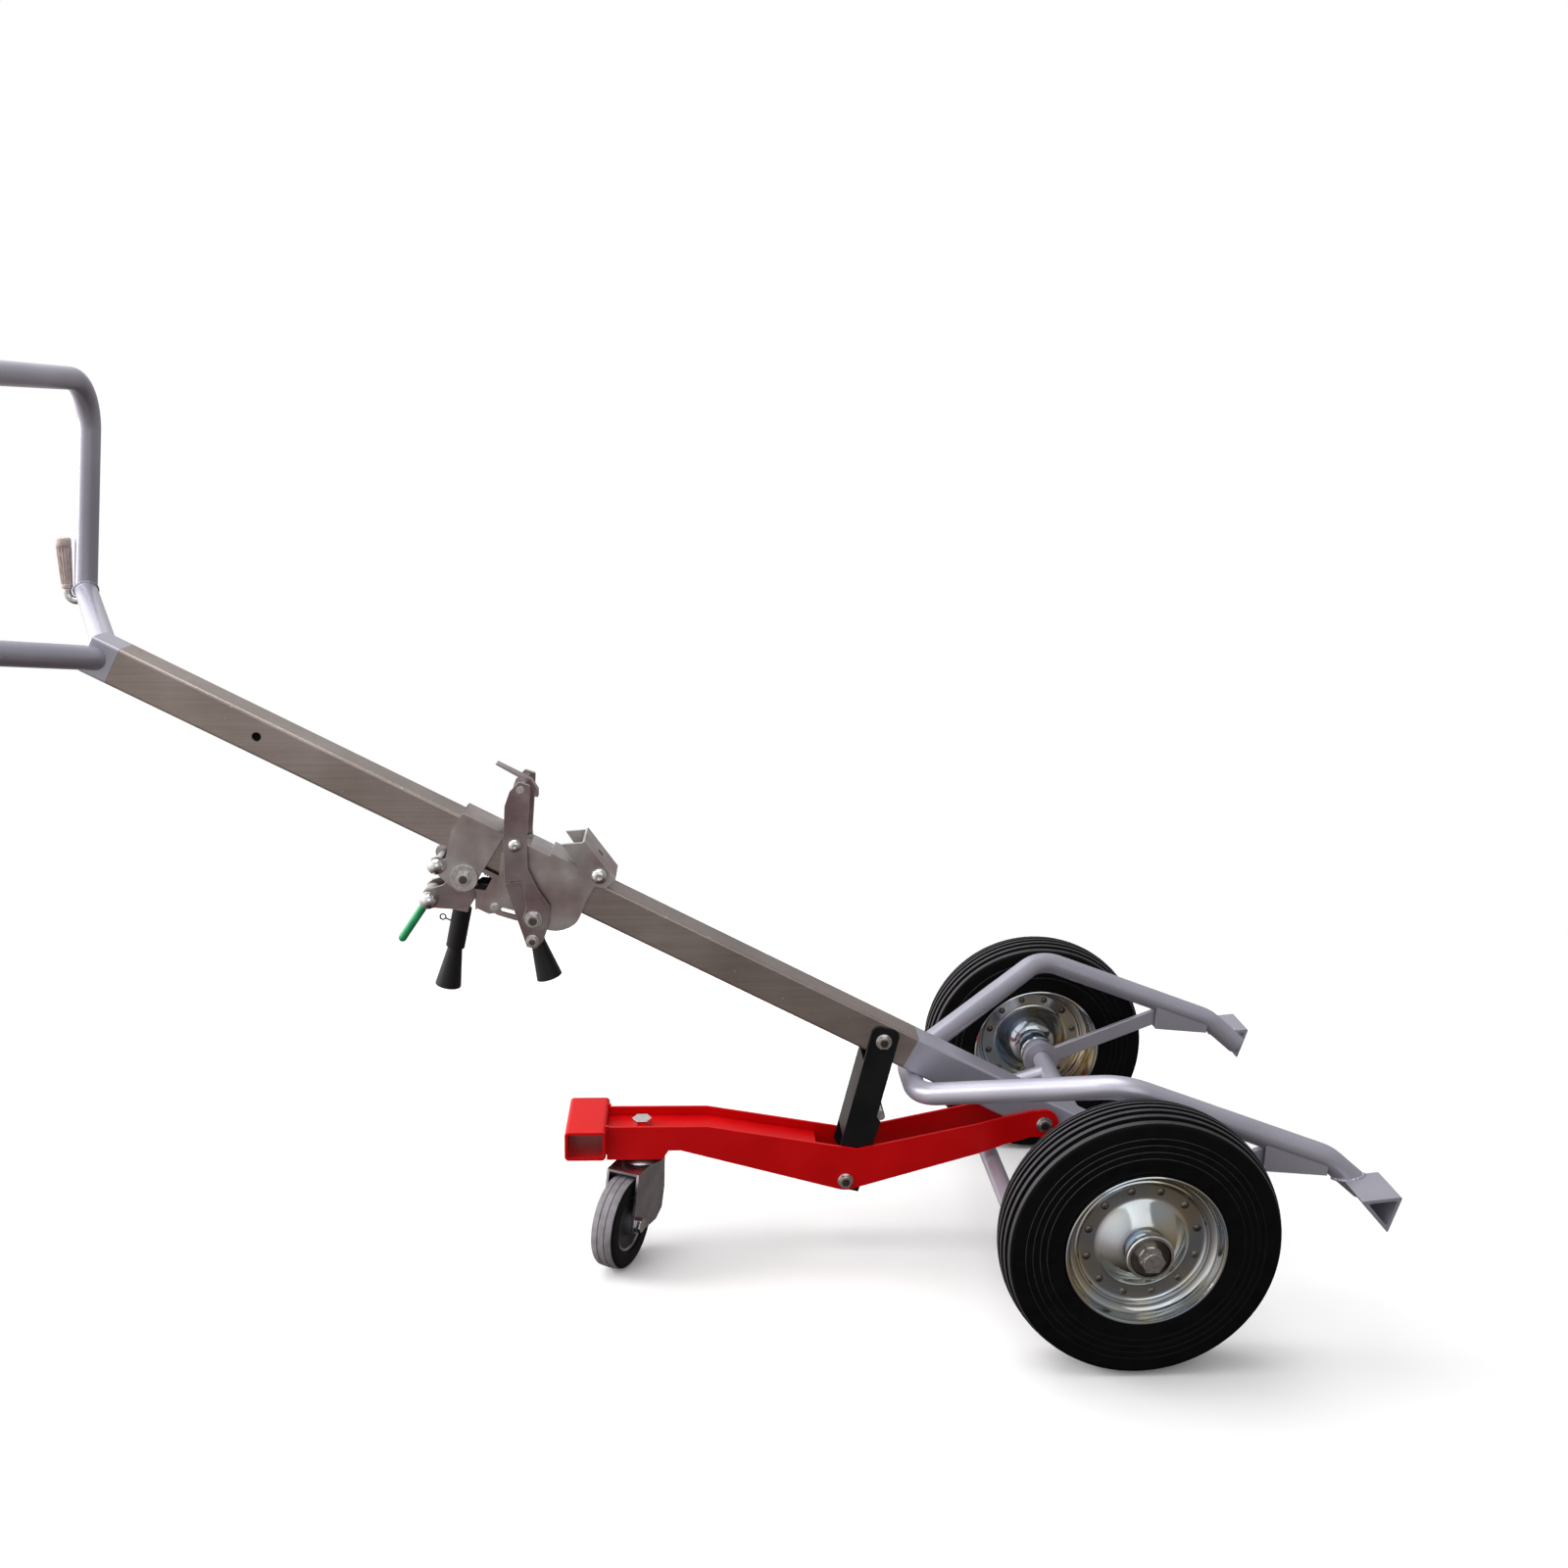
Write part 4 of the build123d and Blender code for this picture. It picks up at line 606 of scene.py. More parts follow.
def on_seats(tree, group, body):
    """Copies of a body on the host's vertices, each turned the way its vertex faces."""
    facing = add_node(tree, "GeometryNodeInputNamedAttribute", {"data_type": "FLOAT_VECTOR"}, Name="facing")
    turn = add_node(tree, "FunctionNodeAlignRotationToVector", {"axis": "Z"}, Vector=facing.outputs[0])
    points = add_node(tree, "GeometryNodeMeshToPoints", Mesh=group.outputs[0])
    links = {"Points": points.outputs[0], "Instance": body.outputs[0], "Rotation": turn.outputs[0]}
    return add_node(tree, "GeometryNodeInstanceOnPoints", **links).outputs[0]


# Drums that make up a nut on its bolt, with their corners, and the inputs that each of them has
NUT_DRUMS = {"Washer": 40, "Hexagon": 6, "Collar": 40, "Bolt": 32}
DRUM_INPUTS = ("Radius", "Middle", "Height")


def lock_nut_tree():
    """Washer, hexagon, raised round collar and bolt end on each seat."""
    inputs = [(drum + " " + label, "Float") for drum in NUT_DRUMS for label in DRUM_INPUTS]
    inputs += [("Material", "Material"), ("Bolt Material", "Material")]
    tree, group = node_tree("lock_nuts", inputs)
    given = group.outputs
    whole = add_node(tree, "GeometryNodeJoinGeometry")
    for drum, corners in NUT_DRUMS.items():
        radius, centre, height = (given[drum + " " + label] for label in DRUM_INPUTS)
        body = add_node(tree, "GeometryNodeMeshCylinder", Vertices=corners, Radius=radius, Depth=height)
        lift = add_node(tree, "ShaderNodeCombineXYZ", Z=centre)
        links = {"Geometry": body.outputs[0], "Translation": lift.outputs[0]}
        raised = add_node(tree, "GeometryNodeTransform", **links)
        marked = add_node(
            tree,
            "GeometryNodeStoreNamedAttribute",
            {"data_type": "BOOLEAN", "domain": "FACE"},
            Geometry=raised.outputs[0],
            Name="bolt_end",
            Value=drum == "Bolt",
        )
        tree.links.new(marked.outputs[0], whole.inputs[0])
    ends = add_node(tree, "GeometryNodeInputNamedAttribute", {"data_type": "BOOLEAN"}, Name="bolt_end")
    placed = on_seats(tree, group, whole)
    end_tree(tree, placed, given["Material"], ends.outputs[0], given["Bolt Material"])
    return tree


def rivet_tree():
    """Low round rivet heads on each seat."""
    inputs = (("Head Diameter", "Float"), ("Head Height", "Float"), ("Material", "Material"))
    tree, group = node_tree("rivets", inputs)
    wide, high, finish = (group.outputs[label] for label, _ in inputs)
    ball = add_node(tree, "GeometryNodeMeshUVSphere", Segments=20, Rings=10, Radius=0.5)
    shape = add_node(tree, "ShaderNodeCombineXYZ", X=wide, Y=wide, Z=high)
    head = add_node(tree, "GeometryNodeTransform", Geometry=ball.outputs[0], Scale=shape.outputs[0])
    end_tree(tree, on_seats(tree, group, head), finish)
    return tree


def coil_tree():
    """Compression spring along Z."""
    inputs = [(label, "Float") for label in ("Turns", "Radius", "Length", "Wire")]
    inputs.append(("Material", "Material"))
    tree, group = node_tree("coil", inputs)
    turns, radius, length, thick, finish = (group.outputs[label] for label, _ in inputs)
    path = add_node(
        tree,
        "GeometryNodeCurveSpiral",
        Resolution=24,
        Rotations=turns,
        _2=radius,
        _3=radius,
        Height=length,
    )
    wire = add_node(tree, "GeometryNodeCurvePrimitiveCircle", Resolution=10, Radius=thick)
    links = {"Curve": path.outputs[0], "Profile_Curve": wire.outputs[0]}
    body = add_node(tree, "GeometryNodeCurveToMesh", Fill_Caps=True, **links)
    end_tree(tree, body.outputs[0], finish)
    return tree


TREES = {"nut": lock_nut_tree, "rivet": rivet_tree, "coil": coil_tree}
made_trees = {}


def tree_of(name):
    """The geometry node tree of that name, made on first use."""
    if name not in made_trees:
        made_trees[name] = TREES[name]()
    return made_trees[name]


# Spanner size and diameter of the usual bolts, in millimetres
M8 = {"flats": 13.0, "bolt": 8.0}
M6 = {"flats": 10.0, "bolt": 6.0}


def nuts(points, flats, bolt, height, washer, washer_thick, proud, share=0.72):
    """Mesh of nuts or heads on the given seats, sizes in millimetres, with rounded edges.

    Share is the hexagon's part of the height. The rest is a round collar, a little inside the flats.
    """
    hexagon = height * share
    drums = {
        "Washer": (washer / 2, 0.0, washer_thick),
        "Hexagon": (flats / sqrt(3), washer_thick, hexagon),
        "Collar": (flats * 0.43, washer_thick + hexagon, height - hexagon),
        "Bolt": (bolt / 2, 0.0, washer_thick + height + proud),
    }
    values = {"Material": finish_of("bolt_zinc"), "Bolt Material": finish_of("aged_zinc")}
    for drum, (radius, base, thick) in drums.items():
        for label, size in zip(DRUM_INPUTS, (radius, base + thick / 2, thick)):
            values[drum + " " + label] = size * MM
    mesh = grown(tree_of("nut"), seats(points), values)
    bmesh.ops.remove_doubles(mesh, verts=mesh.verts, dist=WELD)
    round_edges(mesh, width_mm=0.5)
    return mesh


def shank(centre, radius, reach):
    """Plain bolt shank across the truck, sizes in millimetres."""
    profile = [(0, -reach), (radius, -reach), (radius, reach), (0, reach)]
    return turned(profile, centre, SIDE, steps=32, closed=False)


def cross_bolts(centre, seat, **sizes):
    """Bolt across the truck with a nut or head on a washer at each end."""
    ends = nuts(both_sides(centre, seat), **sizes)
    return joined(ends, shank(centre, sizes["bolt"] / 2, seat))


def button_heads(centre, seat, radius, height, socket):
    """Low round screw heads with a round socket, at equal distances each side."""
    profile = [(0.0, 0.0), (radius, 0.0), (radius, height * 0.3)]
    profile += [(radius * 0.93, height * 0.55), (radius * 0.74, height * 0.84), (radius * 0.5, height)]
    profile += [(socket, height), (socket * 0.9, height * 0.96), (socket * 0.9, height * 0.4)]
    profile.append((0.0, height * 0.4))
    ends = both_sides(centre, seat)
    return joined(*(turned(profile, place, facing, steps=40, closed=False) for place, facing in ends))


def ball_knobs(node, body):
    """Cross rod with ball nuts in place of a node."""
    reach = half_size(node).y / MM
    ball = half_size(node).x / MM
    collar = 3.0
    seat = reach - ball - collar
    rod = 3.9
    end = [(0.0, reach)]
    end += arc((0.0, reach - ball), ball, start=78, end=-18, steps=10)
    end.append((rod, seat + 0.3))
    profile = [(r, -h) for r, h in end] + end[::-1]
    mesh = turned(profile, middle(node), SIDE, steps=48, closed=False)
    install(mesh, node + "_piece", body, ["bolt_zinc"], [node])


def stadium(start, end, radius, steps=10):
    """Points round a straight slot between two mast points."""
    lie = (Vector(end) - Vector(start)).normalized()
    points = []
    for centre, first in ((start, 90.0), (end, -90.0)):
        for step in range(steps + 1):
            angle = radians(first + 180.0 * step / steps)
            along = cos(angle) * lie.x - sin(angle) * lie.y
            across = cos(angle) * lie.y + sin(angle) * lie.x
            points.append((centre[0] + radius * along, centre[1] + radius * across))
    return points


def prism(points, side_low, side_high):
    """Solid between two side offsets over an outline of mast points."""
    mesh = bmesh.new()
    low, high = [[mesh.verts.new(on_mast(a, n, side)) for a, n in points] for side in (side_low, side_high)]
    mesh.faces.new(low)
    mesh.faces.new(high)
    for i in range(len(points)):
        j = (i + 1) % len(points)
        mesh.faces.new((low[i], low[j], high[j], high[i]))
    bmesh.ops.recalc_face_normals(mesh, faces=mesh.faces)
    return mesh


def twin_plates(outline, inner, outer):
    """Two like plates over an outline of mast points, one on each side."""
    return joined(prism(outline, -outer, -inner), prism(outline, inner, outer))


def bead(points, radius_mm, closed=True):
    """Rippled weld bead along a line of points."""
    mesh = bmesh.new()
    count = len(points)
    corners = 8
    centre = sum(points, Vector()) / count
    rings = []
    for i, point in enumerate(points):
        ahead = points[(i + 1) % count] if closed or i + 1 < count else point
        behind = points[i - 1] if closed or i else point
        lead = (ahead - behind).normalized()
        out = point - centre - lead * (point - centre).dot(lead)
        out = out.normalized() if out.length > WELD else lead.orthogonal().normalized()
        over = lead.cross(out)
        swell = radius_mm * (1.0 + 0.18 * sin(2.4 * i) + 0.1 * sin(0.7 * i))
        ring = []
        for step in range(corners):
            angle = 2 * pi * step / corners
            ring.append(mesh.verts.new(point + (out * cos(angle) + over * sin(angle)) * swell * MM))
        rings.append(ring)
    for i in range(count if closed else count - 1):
        here, there = rings[i], rings[(i + 1) % count]
        for step in range(corners):
            following = (step + 1) % corners
            mesh.faces.new((here[step], here[following], there[following], there[step]))
    if not closed:
        mesh.faces.new(rings[0])
        mesh.faces.new(rings[-1])
    return mesh


def tube_seam(centre, axis, normal, radius_mm, steps=72):
    """Loop where a plane through centre cuts a round tube."""
    axis = axis.normalized()
    first = axis.orthogonal().normalized()
    second = axis.cross(first)
    loop = []
    for step in range(steps):
        angle = 2 * pi * step / steps
        out = (first * cos(angle) + second * sin(angle)) * radius_mm * MM
        loop.append(centre + out - axis * out.dot(normal) / axis.dot(normal))
    return loop


def both_sides(centre, reach_mm):
    """Two seats at equal distances each side of the mast's middle plane."""
    return [(centre + SIDE * side * reach_mm * MM, SIDE * side) for side in (-1, 1)]


def joined(*meshes):
    """One mesh of several."""
    whole = meshes[0]
    for other in meshes[1:]:
        data = bpy.data.meshes.new("part")
        other.to_mesh(data)
        other.free()
        whole.from_mesh(data)
        bpy.data.meshes.remove(data)
    return whole


class TruckSizes(bpy.types.PropertyGroup):
    """Sizes that a user may change, lengths in millimetres."""

    edge: FloatProperty(name="Edge", description="Rounding of sheet edges", default=0.6, min=0.1, max=2.0)
    tread_grooves: IntProperty(
        name="Tread grooves", description="Grooves round the tyre", default=6, min=2, max=9
    )
    groove_depth: FloatProperty(name="Groove depth", description="Depth of a groove", default=2.2)
    rivets: IntProperty(name="Rivets", description="Rivets round each disc", default=12, min=3, max=24)
    grip_flutes: IntProperty(
        name="Grip flutes", description="Flutes of the peg's grip", default=14, min=3, max=30
    )


class TruckStudio(bpy.types.PropertyGroup):
    """Light and sky of the studio."""

    top_power: FloatProperty(
        name="Top light", description="Power of the light overhead", default=32.0, unit="POWER"
    )
    key_power: FloatProperty(
        name="Key light", description="Power of the left light", default=40.0, unit="POWER"
    )
    fill_power: FloatProperty(
        name="Fill light", description="Power of the front light", default=14.0, unit="POWER"
    )
    sky: FloatVectorProperty(
        name="Sky", description="Colour seen behind the truck", subtype="COLOR", default=(1.0, 1.0, 1.0)
    )


class TRUCK_OT_stage(bpy.types.Operator):
    """Floor, light and camera"""

    bl_idname = "truck.stage"
    bl_label = "Stage"

    def add_floor(self, scene):
        """Round pale floor that shows shadows and lights nothing."""
        mesh = bmesh.new()
        bmesh.ops.create_circle(mesh, cap_ends=True, segments=96, radius=3.0)
        data = bpy.data.meshes.new("studio_floor")
        mesh.to_mesh(data)
        mesh.free()
        data.materials.append(studio_floor())
        floor = bpy.data.objects.new("studio_floor", data)
        floor.visible_diffuse = False
        floor.visible_glossy = False
        scene.collection.objects.link(floor)

    def add_sky(self, scene, studio):
        """Surroundings that are bright overhead and to the left, dimmer in front and dark below."""
        world = bpy.data.worlds.new("studio_sky")
        world.use_nodes = True
        tree = world.node_tree
        tree.nodes.clear()
        way = add_node(tree, "ShaderNodeTexCoord").outputs["Generated"]
        axes = add_node(tree, "ShaderNodeSeparateXYZ", Vector=way).outputs
        height = add_node(tree, "ShaderNodeMapRange", Value=axes[2], _1=-1.0, _2=1.0, _3=0.0, _4=1.0)
        stops = [(0.0, "#2c2825"), (0.24, "#857d79"), (0.38, "#b1a9a6")]
        stops += [(0.52, "#c4c0bf"), (0.85, "#dedede")]
        tone = add_node(tree, "ShaderNodeValToRGB", {"stops": stops}, Fac=height.outputs[0])
        depth = add_node(tree, "ShaderNodeMapRange", Value=axes[1], _1=-1.0, _2=1.0, _3=0.8, _4=1.2)
        smooth = {"interpolation_type": "SMOOTHSTEP"}
        left = add_node(tree, "ShaderNodeMapRange", smooth, Value=axes[0], _1=-1.0, _2=0.3, _3=2.4, _4=0.62)
        product = {"operation": "MULTIPLY"}
        power = add_node(tree, "ShaderNodeMath", product, _0=depth.outputs[0], _1=left.outputs[0])
        light = add_node(tree, "ShaderNodeBackground", Color=tone.outputs[0], Strength=power.outputs[0])
        seen = add_node(tree, "ShaderNodeBackground", Color=(*studio.sky, 1.0), Strength=1.0)
        camera = add_node(tree, "ShaderNodeLightPath").outputs["Is Camera Ray"]
        both = add_node(tree, "ShaderNodeMixShader", _0=camera, _1=light.outputs[0], _2=seen.outputs[0])
        add_node(tree, "ShaderNodeOutputWorld", Surface=both.outputs[0])
        scene.world = world

    def add_lights(self, scene, studio):
        """Soft boxes overhead, to the left and in front."""
        for name, place, size, power in (
            ("top_light", Vector((-0.5, 0.1, 2.5)), 2.2, studio.top_power),
            ("key_light", Vector((-2.3, 0.2, 1.2)), 1.2, studio.key_power),
            ("fill_light", Vector((0.6, -2.8, 1.7)), 2.2, studio.fill_power),
        ):
            lamp = bpy.data.lights.new(name, "AREA")
            lamp.size = size
            lamp.energy = power
            holder = bpy.data.objects.new(name, lamp)
            holder.location = place
            holder.rotation_euler = (Vector((0, 0, 0.3)) - place).to_track_quat("-Z", "Y").to_euler()
            scene.collection.objects.link(holder)

    def add_camera(self, scene):
        """Viewpoint found from the wheels, mast and handle: place in metres, angles in degrees."""
        eye = Vector((AXLE.x - 0.3994, -1.3553, 0.8112))
        pitch, yaw, roll = radians(13.67), radians(3.82), radians(1.40)
        ahead = Vector((sin(yaw) * cos(pitch), cos(yaw) * cos(pitch), -sin(pitch)))
        level = Vector((cos(yaw), -sin(yaw), 0))
        over = level.cross(ahead)
        right = level * cos(roll) + over * sin(roll)
        top = over * cos(roll) - level * sin(roll)
        camera = bpy.data.objects.new("camera", bpy.data.cameras.new("camera"))
        camera.data.sensor_width = 36.0
        camera.data.lens = 33.75
        camera.matrix_world = Matrix(
            (
                (right.x, top.x, -ahead.x, eye.x),
                (right.y, top.y, -ahead.y, eye.y),
                (right.z, top.z, -ahead.z, eye.z),
                (0, 0, 0, 1),
            )
        )
        scene.collection.objects.link(camera)
        scene.camera = camera

    def execute(self, context):
        scene = context.scene
        self.add_floor(scene)
        self.add_sky(scene, scene.truck_studio)
        self.add_lights(scene, scene.truck_studio)
        self.add_camera(scene)
        scene.view_settings.view_transform = "Standard"
        return {"FINISHED"}


class TRUCK_OT_frame(bpy.types.Operator):
    """Mast, post, head, handle, cradle, feet, braces, axle and foot bar"""

    bl_idname = "truck.frame"
    bl_label = "Frame"

    def execute(self, context):
        for node in ("base_post", "mast", "mast_spigots", "handle_bar", "cradle_tube", "foot_bar"):
            softened(node)
        top = max(ALONG.dot(v.co) for v in frame["nodes"]["head_post"].data.vertices) - 2 * MM
        softened("head_post", folds=lambda a, b: min(ALONG.dot(a), ALONG.dot(b)) > top, fold_mm=2.5)
        for side in ("left_", "right_"):
            for part in ("splay_tube", "gusset", "brace"):
                softened(side + part)
            softened(side + "foot", folds=lambda a, b: abs((b - a).normalized().dot(SIDE)) > 0.999)
        for node in ("axle", "grip_peg"):
            softened(node)
        return {"FINISHED"}


class TRUCK_OT_welds(bpy.types.Operator):
    """Weld beads at the handle's elbows and on the feet"""

    bl_idname = "truck.welds"
    bl_label = "Welds"

    seam_radius = 11.2

    def elbow_seam(self, side):
        """Loop round the mitre between a splay tube and the handle."""
        elbow = HANDLE_ROOT + Vector((-94.8, side * 200.0, 39.0)) * MM
        splay = (elbow - HANDLE_ROOT).normalized()
        handle = Vector((22.0, 0.0, 209.0)).normalized()
        return tube_seam(elbow, splay, (splay + handle).normalized(), self.seam_radius)

    def foot_seam(self, name, side):
        """Line where the cradle tube meets the sloping top of a foot, on the tube's outer side."""
        low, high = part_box(name + "_foot")
        slope = radians(40.0)
        fall, width = 4.0, 37.0
        tube_side = 162.0
        inner_edge = (tube_side + 2.0) * MM
        lie = Vector((cos(slope), 0, -sin(slope)))
        end = Vector((low[0] + 22.77 * MM, side * tube_side * MM, high[2] - 16.5 * MM))
        corner = Vector((low[0], 0, high[2] - fall * MM))
        face = Vector((-fall, 0, width)).normalized()
        centre = end - lie * ((end - corner).dot(face) / lie.dot(face))
        loop = tube_seam(centre, lie, face, self.seam_radius)
        outside = [abs(p.y) > inner_edge for p in loop]
        first = next(i for i, out in enumerate(outside) if out and not outside[i - 1])
        around = loop[first:] + loop[:first]
        return [p for p in around if abs(p.y) > inner_edge]

    def execute(self, context):
        beads = []
        for name, side in (("right", -1), ("left", 1)):
            beads.append(bead(self.elbow_seam(side), radius_mm=1.4))
            beads.append(bead(self.foot_seam(name, side), radius_mm=1.6, closed=False))
        install(joined(*beads), "weld_beads", "frame", ["silver_paint"])
        return {"FINISHED"}


class TRUCK_OT_peg_grip(bpy.types.Operator):
    """Fluted grip on the peg"""

    bl_idname = "truck.peg_grip"
    bl_label = "Peg grip"

    def execute(self, context):
        low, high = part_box("peg_grip")
        foot = Vector(((low[0] + high[0]) / 2, (low[1] + high[1]) / 2, low[2]))
        top = (high[0] - low[0]) / 2 / MM
        height = (high[2] - low[2]) / MM
        neck = top - 2.0
        cap = height - 9.0
        profile = [(0.0, 0.0), (neck - 0.6, 0.0), (neck, 1.0), (neck + 0.1, 4.0), (neck + 0.1, 5.0)]
        profile += [(neck + (top - neck) * i / 8, 5.0 + (cap - 5.6) * i / 8) for i in range(9)]
        profile += [(top - 0.9, cap), (top - 0.1, cap + 0.7), (top, cap + 2.0), (top, height - 2.0)]
        profile += [(top - 0.7, height - 0.6), (top - 2.0, height), (0.0, height)]
        flutes = (context.scene.truck_sizes.grip_flutes, 1.3, 4.5, cap - 0.3)
        mesh = turned(profile, foot, UP, steps=144, closed=False, flutes=flutes)
        install(mesh, "peg_grip_piece", "frame", ["beige_plastic"], ["peg_grip"])
        return {"FINISHED"}


class TRUCK_OT_wheels(bpy.types.Operator):
    """Tyres, wheel discs, hubs, rivets and axle caps"""

    bl_idname = "truck.wheels"
    bl_label = "Wheels"

    def tyre_profile(self, sizes, outer, half):
        """Closed tyre section of (radius, offset) points and the finish of each stretch."""
        bead_radius = 69.3
        crown_half = half - 2.2
        crown_drop = 6.0
        shoulder = outer - crown_drop
        mouth = 2.2
        floor = 1.7
        edge_rib = 0.6
        wall_rings = 4
        first_ring = outer - 38.0
        ring_spacing = 6.2
        points = [(bead_radius, -half + 8.0)]
        points += [(bead_radius + 2.5, -half + 2.0), (bead_radius + 7.0, -half + 0.4)]
        walls = [0, 0, 0]
        for ring in range(wall_rings):
            radius = first_ring + ring * ring_spacing
            points += [(radius, -half), (radius + 0.5, -half + 0.6), (radius + 1.3, -half)]
            # The first facet of each sidewall ring gets the lighter rubber, a painted highlight
            walls += [1, 0, 0]
        points += [(shoulder - 2.8, -half + 0.1), (shoulder - 0.4, -half + 0.6)]
        walls.append(0)
        spacing = 2 * crown_half / (sizes.tread_grooves - 1 + 2 * edge_rib)

        def crown(offset):
            """Radius of the rounded crown at an offset from its middle."""
            return outer - crown_drop * (offset / half) ** 2

        tread = [(crown(-crown_half) - 0.4, -crown_half - 0.8)]
        for groove in range(sizes.tread_grooves):
            centre = -crown_half + spacing * (groove + edge_rib)
            bottom = crown(centre) - sizes.groove_depth
            tread += [(crown(centre - mouth), centre - mouth), (bottom, centre - floor)]
            tread += [(bottom, centre + floor), (crown(centre + mouth), centre + mouth)]
        tread.append((crown(crown_half) - 0.4, crown_half + 0.8))
        mirrored = [(r, -h) for r, h in reversed(points)]
        # Group 1 is the lighter rubber: a painted highlight on the tops of the tread's ribs
        groups = walls + [0] + [1, 0, 0, 0] * sizes.tread_grooves + [1, 0] + walls[::-1] + [0]
        return points + tread + mirrored, groups

    def disc_profile(self, hub, annulus, dome):
        """Closed section of a pressed disc: lip, stepped wall, flat annulus and dome up to the hub."""
        face = [(71.7, 25.4), (71.3, 26.7), (70.3, 27.2), (69.0, 26.8), (67.9, 25.0), (66.9, annulus + 9.0)]
        face += [(65.4, annulus + 5.9), (63.2, annulus + 4.1), (60.6, annulus + 3.5), (59.4, annulus + 4.0)]
        face += [(58.2, annulus + 3.5), (57.4, annulus + 1.9), (56.2, annulus + 0.7), (54.4, annulus + 0.2)]
        face += [(43.5, annulus)]
        rise = dome - annulus
        for radius, share in ((41.2, 0.035), (38.5, 0.157), (34.0, 0.42), (29.5, 0.665), (25.5, 0.85)):
            face.append((radius, annulus + share * rise))
        face += [(22.6, annulus + 0.95 * rise), (20.6, annulus + 0.99 * rise), (hub, dome)]
        back = [(r, h - 2.2) for r, h in reversed(face)]
        return face + back

    def axle_caps(self):
        """Bright collar with a darker recessed washer and a bolt head on each end of the axle."""
        reach = half_size("axle_caps").y / MM
        rim = half_size("axle_caps").x / MM
        head = 8.0
        cap = 4.0
        dish = 1.8
        washer = 0.5
        meshes = []
        for place, facing in both_sides(AXLE, reach - head - cap):
            profile = [(0.0, 0.0), (rim, 0.0), (rim, cap - 0.9), (rim - 0.9, cap), (rim - 3.0, cap)]
            profile += [(rim - 4.2, cap - dish), (0.0, cap - dish)]
            meshes.append(turned(profile, place, facing, steps=72, closed=False, groups=[0, 0, 0, 0, 1, 1]))
        heads = nuts(
            both_sides(AXLE, reach - head - dish),
            flats=19.0,
            bolt=10.0,
            height=head + dish - washer,
            washer=21.0,
            washer_thick=washer,
            proud=-2.0,
            share=0.93,
        )
        return joined(*meshes, heads)

    def rivets(self, centre, flats, count):
        """Rivet heads in a circle on the flat of each disc, given by the way it faces and its offset."""
        circle = 50.0
        heads = []
        for way, annulus in flats:
            for index in range(count):
                angle = 2 * pi * (index + 0.5) / count
                out = Vector((cos(angle), 0, sin(angle)))
                heads.append((centre + (out * circle + way * annulus) * MM, way))
        values = {"Head Diameter": 7.4 * MM, "Head Height": 3.8 * MM, "Material": finish_of("aged_zinc")}
        return grown(tree_of("rivet"), seats(heads), values)

    def execute(self, context):
        sizes = context.scene.truck_sizes
        for name, side in (("right", -1), ("left", 1)):
            body = name + "_wheel"
            centre = middle(name + "_tyre")
            outer = half_size(name + "_tyre").x / MM
            half = half_size(name + "_tyre").y / MM
            hub = half_size(name + "_hub").x / MM
            hub_half = half_size(name + "_hub").y / MM
            outward = SIDE * side
            profile, groups = self.tyre_profile(sizes, outer, half)
            mesh = turned(profile, centre, outward, steps=180, groups=groups)
            install(mesh, name + "_tyre_piece", body, ["tyre_rubber", "tyre_lit_facet"], [name + "_tyre"])
            # Each disc with the offsets of its flat and of its dome from the wheel's middle
            discs = (("outer", outward, 10.5, 24.0), ("inner", -outward, -5.5, 14.5))
            for face, way, annulus, dome in discs:
                mesh = turned(self.disc_profile(hub + 0.1, annulus, dome), centre, way, steps=128)
                node = name + "_rim_" + face
                install(mesh, node + "_piece", body, ["rim_zinc"], [node])
            bore = 10.1
            tube = [(bore, -hub_half), (hub - 1.2, -hub_half), (hub, -hub_half + 1.2)]
            tube += [(hub, hub_half - 1.2), (hub - 1.2, hub_half), (bore, hub_half)]
            mesh = turned(tube, centre, outward, steps=64)
            install(mesh, name + "_hub_piece", body, ["rim_zinc"], [name + "_hub"])
            mesh = self.rivets(centre, [disc[1:3] for disc in discs], sizes.rivets)
            install(mesh, name + "_rivets_piece", body, ["aged_zinc"], [name + "_rivets"])
        install(self.axle_caps(), "axle_caps_piece", "frame", FASTENER, ["axle_caps"])
        return {"FINISHED"}


